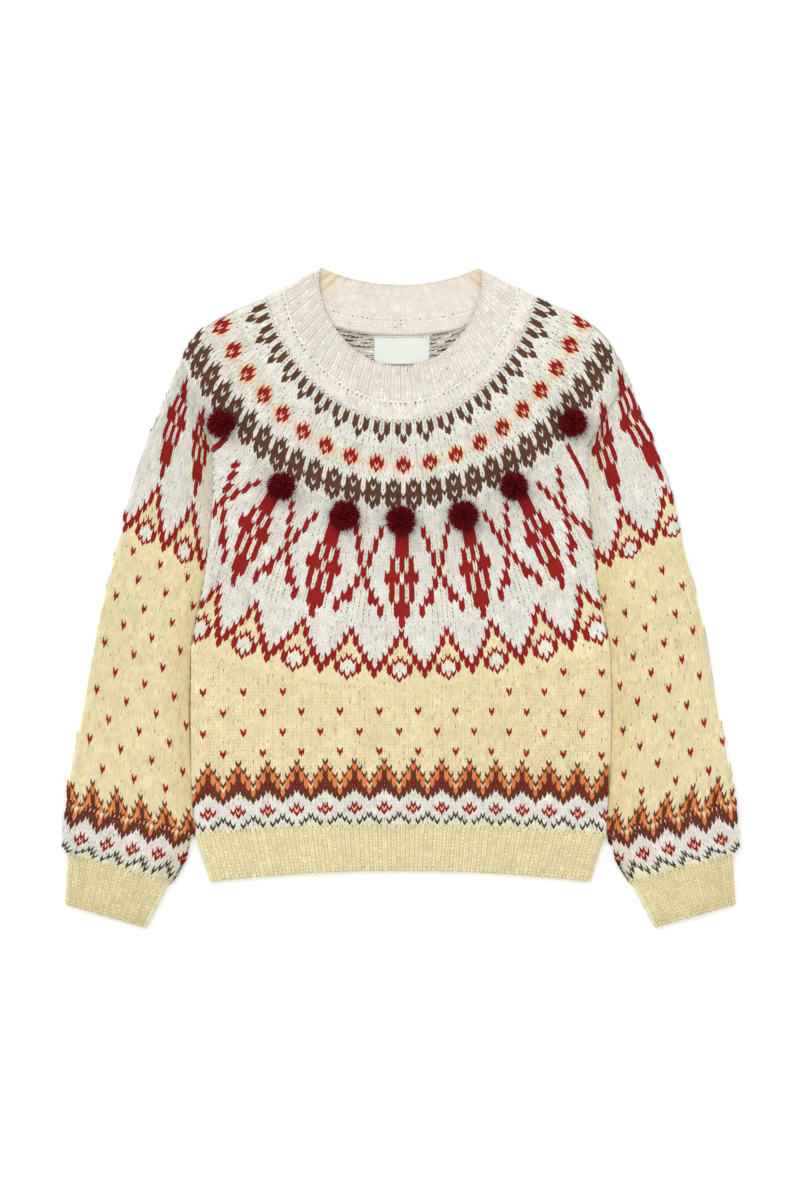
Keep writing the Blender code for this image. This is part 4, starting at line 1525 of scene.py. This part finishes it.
rows = [hem_row(row) for row in np.linspace(-0.5, HEM_ROWS - 0.5, 6)]
tube = tube_cloth("hem_rib", rows, HEM_RIBS * 4, ["Q"] * 6, relief=rib_relief(HEM_RIBS * 2))
tube.build("yellow_rib", (0.72, 0.04), None, pieces["hem_rib"])
ts = (0.0, 0.2, 0.4, 0.6, 0.8, 1.0, 1.25, 1.5, 1.75, 2.0)
tube = tube_cloth(
    "neckband",
    [neck_front.at(t) for t in ts],
    NECK_RIBS_FRONT * 4,
    ["C"] * len(ts),
    [neck_back.at(t) for t in ts],
    rib_relief(NECK_RIBS_FRONT * 2),
    rib_relief(NECK_RIBS_FRONT * 2),
)
tube.build("cream_rib", (0.47, 0.045), None, pieces["neckband"])


# Pompoms
FUR_CENTRE_Z = FLAT_TOP + SEAM + HEAD_RADIUS
FUR_CORE = 8.6
FUR_FULL_X = 60.0
FUR_HAIRS = 1350
FUR_REACH = 14.6
FUR_YARNS = (
    # Painted shade: the core is near black, as the shade deep among the hairs
    ("fur_core_painted_shade", (46, 4, 10)),
    ("fur_wine", (110, 14, 19)),
    ("fur_bright", (150, 28, 32)),
    ("fur_tip", (30, 6, 10)),
)
fur_materials = [yarn_material(name, colour, FUR_GRAIN) for name, colour in FUR_YARNS]


def fur_ball(rng):
    """Points, triangles and slots of a core, painted dark as the shade deep among the hairs, with
    hairs that lean together in tufts.
    """
    core = bmesh.new()
    bmesh.ops.create_icosphere(core, subdivisions=3, radius=FUR_CORE)
    core_points = np.array([v.co for v in core.verts])
    core_faces = np.array([[v.index for v in face.verts] for face in core.faces])
    core.free()
    golden = math.pi * (3.0 - math.sqrt(5.0))
    n = np.arange(FUR_HAIRS)
    z = 1.0 - 2.0 * (n + 0.5) / FUR_HAIRS
    ring = np.sqrt(1.0 - z * z)
    way = np.stack([ring * np.cos(golden * n), ring * np.sin(golden * n), z], axis=1)
    tufts = rng.normal(size=(70, 3))
    tufts /= np.linalg.norm(tufts, axis=1)[:, None]
    nearest = tufts[np.argmax(way @ tufts.T, axis=1)]
    lean = way * 0.55 + nearest * 0.45 + rng.normal(0.0, 0.16, way.shape)
    lean /= np.linalg.norm(lean, axis=1)[:, None]
    reach = FUR_REACH * (0.80 + 0.20 * rng.random(FUR_HAIRS))
    long = rng.random(FUR_HAIRS) < 0.12
    reach = np.where(long, reach * 1.25, reach)
    sweep = rng.normal(0.0, 0.6, way.shape)
    root = way * FUR_CORE * 0.92
    tip = lean * reach[:, None] + sweep
    middle = (root + tip) / 2 + way * 1.1 + sweep * 0.4
    side = np.cross(lean, rng.normal(size=way.shape))
    side /= np.linalg.norm(side, axis=1)[:, None]
    other = np.cross(lean, side)
    thick = np.where(long, 0.15, 0.31)[:, None]
    stations = []
    for centre, scale in ((root, 1.0), (middle, 0.8)):
        for angle in (0.0, 2.0944, 4.1888):
            offset = side * math.cos(angle) + other * math.sin(angle)
            stations.append(centre + offset * thick * scale)
    hairs = np.stack([*stations, tip], axis=1).reshape(-1, 3)
    pattern = []
    for j in range(3):
        a, b = j, (j + 1) % 3
        pattern += [(a, b, b + 3), (a, b + 3, a + 3), (a + 3, b + 3, 6)]
    pattern = np.array(pattern)
    faces = (pattern[None] + (n * 7)[:, None, None]).reshape(-1, 3) + len(core_points)
    shade = np.where(long, 3, np.where(rng.random(FUR_HAIRS) < 0.35, 2, 1))
    points = np.concatenate([core_points, hairs])
    slots = np.concatenate([np.zeros(len(core_faces), int), np.repeat(shade, len(pattern))])
    return points, np.concatenate([core_faces, faces]), slots


for number, (x, y) in enumerate(POMPOMS, start=1):
    points, faces, slots = fur_ball(np.random.default_rng(SEED + number))
    points = points * (1.09 if abs(x) < FUR_FULL_X else 1.02) + (x, y, FUR_CENTRE_Z)
    floor_z = FLAT_TOP + 0.9
    points[:, 2] = np.where(points[:, 2] < floor_z + 2.0,
                            floor_z + 2.0 * np.exp((points[:, 2] - floor_z - 2.0) / 3.0),
                            points[:, 2])
    fur = make_mesh(f"pompom_{number}_fur", points, faces, slots, fur_materials)
    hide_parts(f"pompom_{number}")

# The bare woven label inside the back of the neck
LABEL_Z = (2.95, 3.65)
LABEL_CORNER = 4.0
LETTERS.append("L")
MATERIALS["L"] = yarn_material("woven_label", (228, 232, 223), LABEL_GRAIN)


def label_grid():
    xs = np.linspace(-LABEL_WIDTH / 2, LABEL_WIDTH / 2, 33)
    ys = np.linspace(LABEL_TOP_Y, LABEL_BOTTOM_Y, 19)
    x, y = np.meshgrid(xs, ys)
    over = np.maximum(np.abs(x) - (LABEL_WIDTH / 2 - LABEL_CORNER), 0.0)
    low = LABEL_BOTTOM_Y + LABEL_CORNER - np.sqrt(np.maximum(LABEL_CORNER**2 - over**2, 0.0))
    y = LABEL_TOP_Y - (LABEL_TOP_Y - y) * (LABEL_TOP_Y - low) / (LABEL_TOP_Y - LABEL_BOTTOM_Y)
    wave = 0.10 * np.sin(x * 0.21 + 0.6) + 0.08 * np.cos(y * 0.3)
    x = x + LABEL_X
    return [np.stack([x, y, z + wave], axis=2) for z in LABEL_Z[::-1]]


label = Cloth("neck_label")
label.grid(*label_grid(), ["L"] * 19, False)
# Small dark stitches hold its upper edge
thread = Stitches("inner", BACK_Z)
thread_x = np.arange(-LABEL_WIDTH / 2 + 1.6, LABEL_WIDTH / 2 - 1.0, 2.5)
thread_p = np.stack([thread_x + LABEL_X, np.full(len(thread_x), LABEL_TOP_Y - 1.1)], axis=1)
across = np.tile((1.3, 0.0), (len(thread_x), 1))
up = np.tile((0.0, 1.0), (len(thread_x), 1))
dark = np.full(len(thread_x), "A")
thread.add(back_rows(5), thread_p, np.zeros(len(thread_x)), across, up, dark, "purl", 1.25)
thread = stitch_piece("neck_label_thread", thread)
label.build(
    "woven_label", (LABEL_WIDTH * MM, (LABEL_TOP_Y - LABEL_BOTTOM_Y) * MM), None, [thread]
)

# Camera, floor and light
floor_mesh = bpy.data.meshes.new("floor")
floor_mesh.from_pydata(
    [(-3, -3, -0.0005), (3, -3, -0.0005), (3, 3, -0.0005), (-3, 3, -0.0005)], [], [(0, 1, 2, 3)]
)
floor = bpy.data.objects.new("floor", floor_mesh)
collection.objects.link(floor)
pale = bpy.data.materials.new("pale_floor")
pale.use_nodes = True
paper = pale.node_tree.nodes["Principled BSDF"]
paper.inputs["Base Color"].default_value = (0.95, 0.95, 0.95, 1.0)
paper.inputs["Roughness"].default_value = 0.9
paper.inputs["Emission Color"].default_value = (1.0, 1.0, 1.0, 1.0)
paper.inputs["Emission Strength"].default_value = 0.12
floor_mesh.materials.append(pale)

camera_data = bpy.data.cameras.new("camera")
camera = bpy.data.objects.new("camera", camera_data)
collection.objects.link(camera)
camera_data.lens = 85.0
camera_data.sensor_fit = "VERTICAL"
camera_data.sensor_height = 36.0
VIEW_HEIGHT = 1.08
distance = VIEW_HEIGHT * camera_data.lens / camera_data.sensor_height
middle = px(400.0, 600.0)
camera.location = (middle[0] * MM, middle[1] * MM, distance)
bpy.context.scene.camera = camera

world = bpy.data.worlds.new("world")
world.use_nodes = True
world.node_tree.nodes["Background"].inputs["Color"].default_value = (1.0, 1.0, 1.0, 1.0)
world.node_tree.nodes["Background"].inputs["Strength"].default_value = 0.71
bpy.context.scene.world = world


def area_light(name, place, size, power, aim=(0.0, 0.0, 0.0)):
    data = bpy.data.lights.new(name, "AREA")
    data.shape = "RECTANGLE"
    data.size, data.size_y = size
    data.energy = power
    light = bpy.data.objects.new(name, data)
    collection.objects.link(light)
    light.location = place
    way = np.array(aim) - np.array(place)
    yaw = math.atan2(way[1], way[0])
    pitch = math.acos(way[2] / np.linalg.norm(way))
    light.rotation_euler = (0.0, math.pi - pitch, yaw + math.pi)
    return light


area_light("key", (-1.1, 1.1, 2.0), (2.6, 2.6), 27.0)
area_light("fill", (1.4, -0.6, 2.0), (2.4, 2.4), 11.0)
bpy.context.scene.view_settings.view_transform = "Standard"
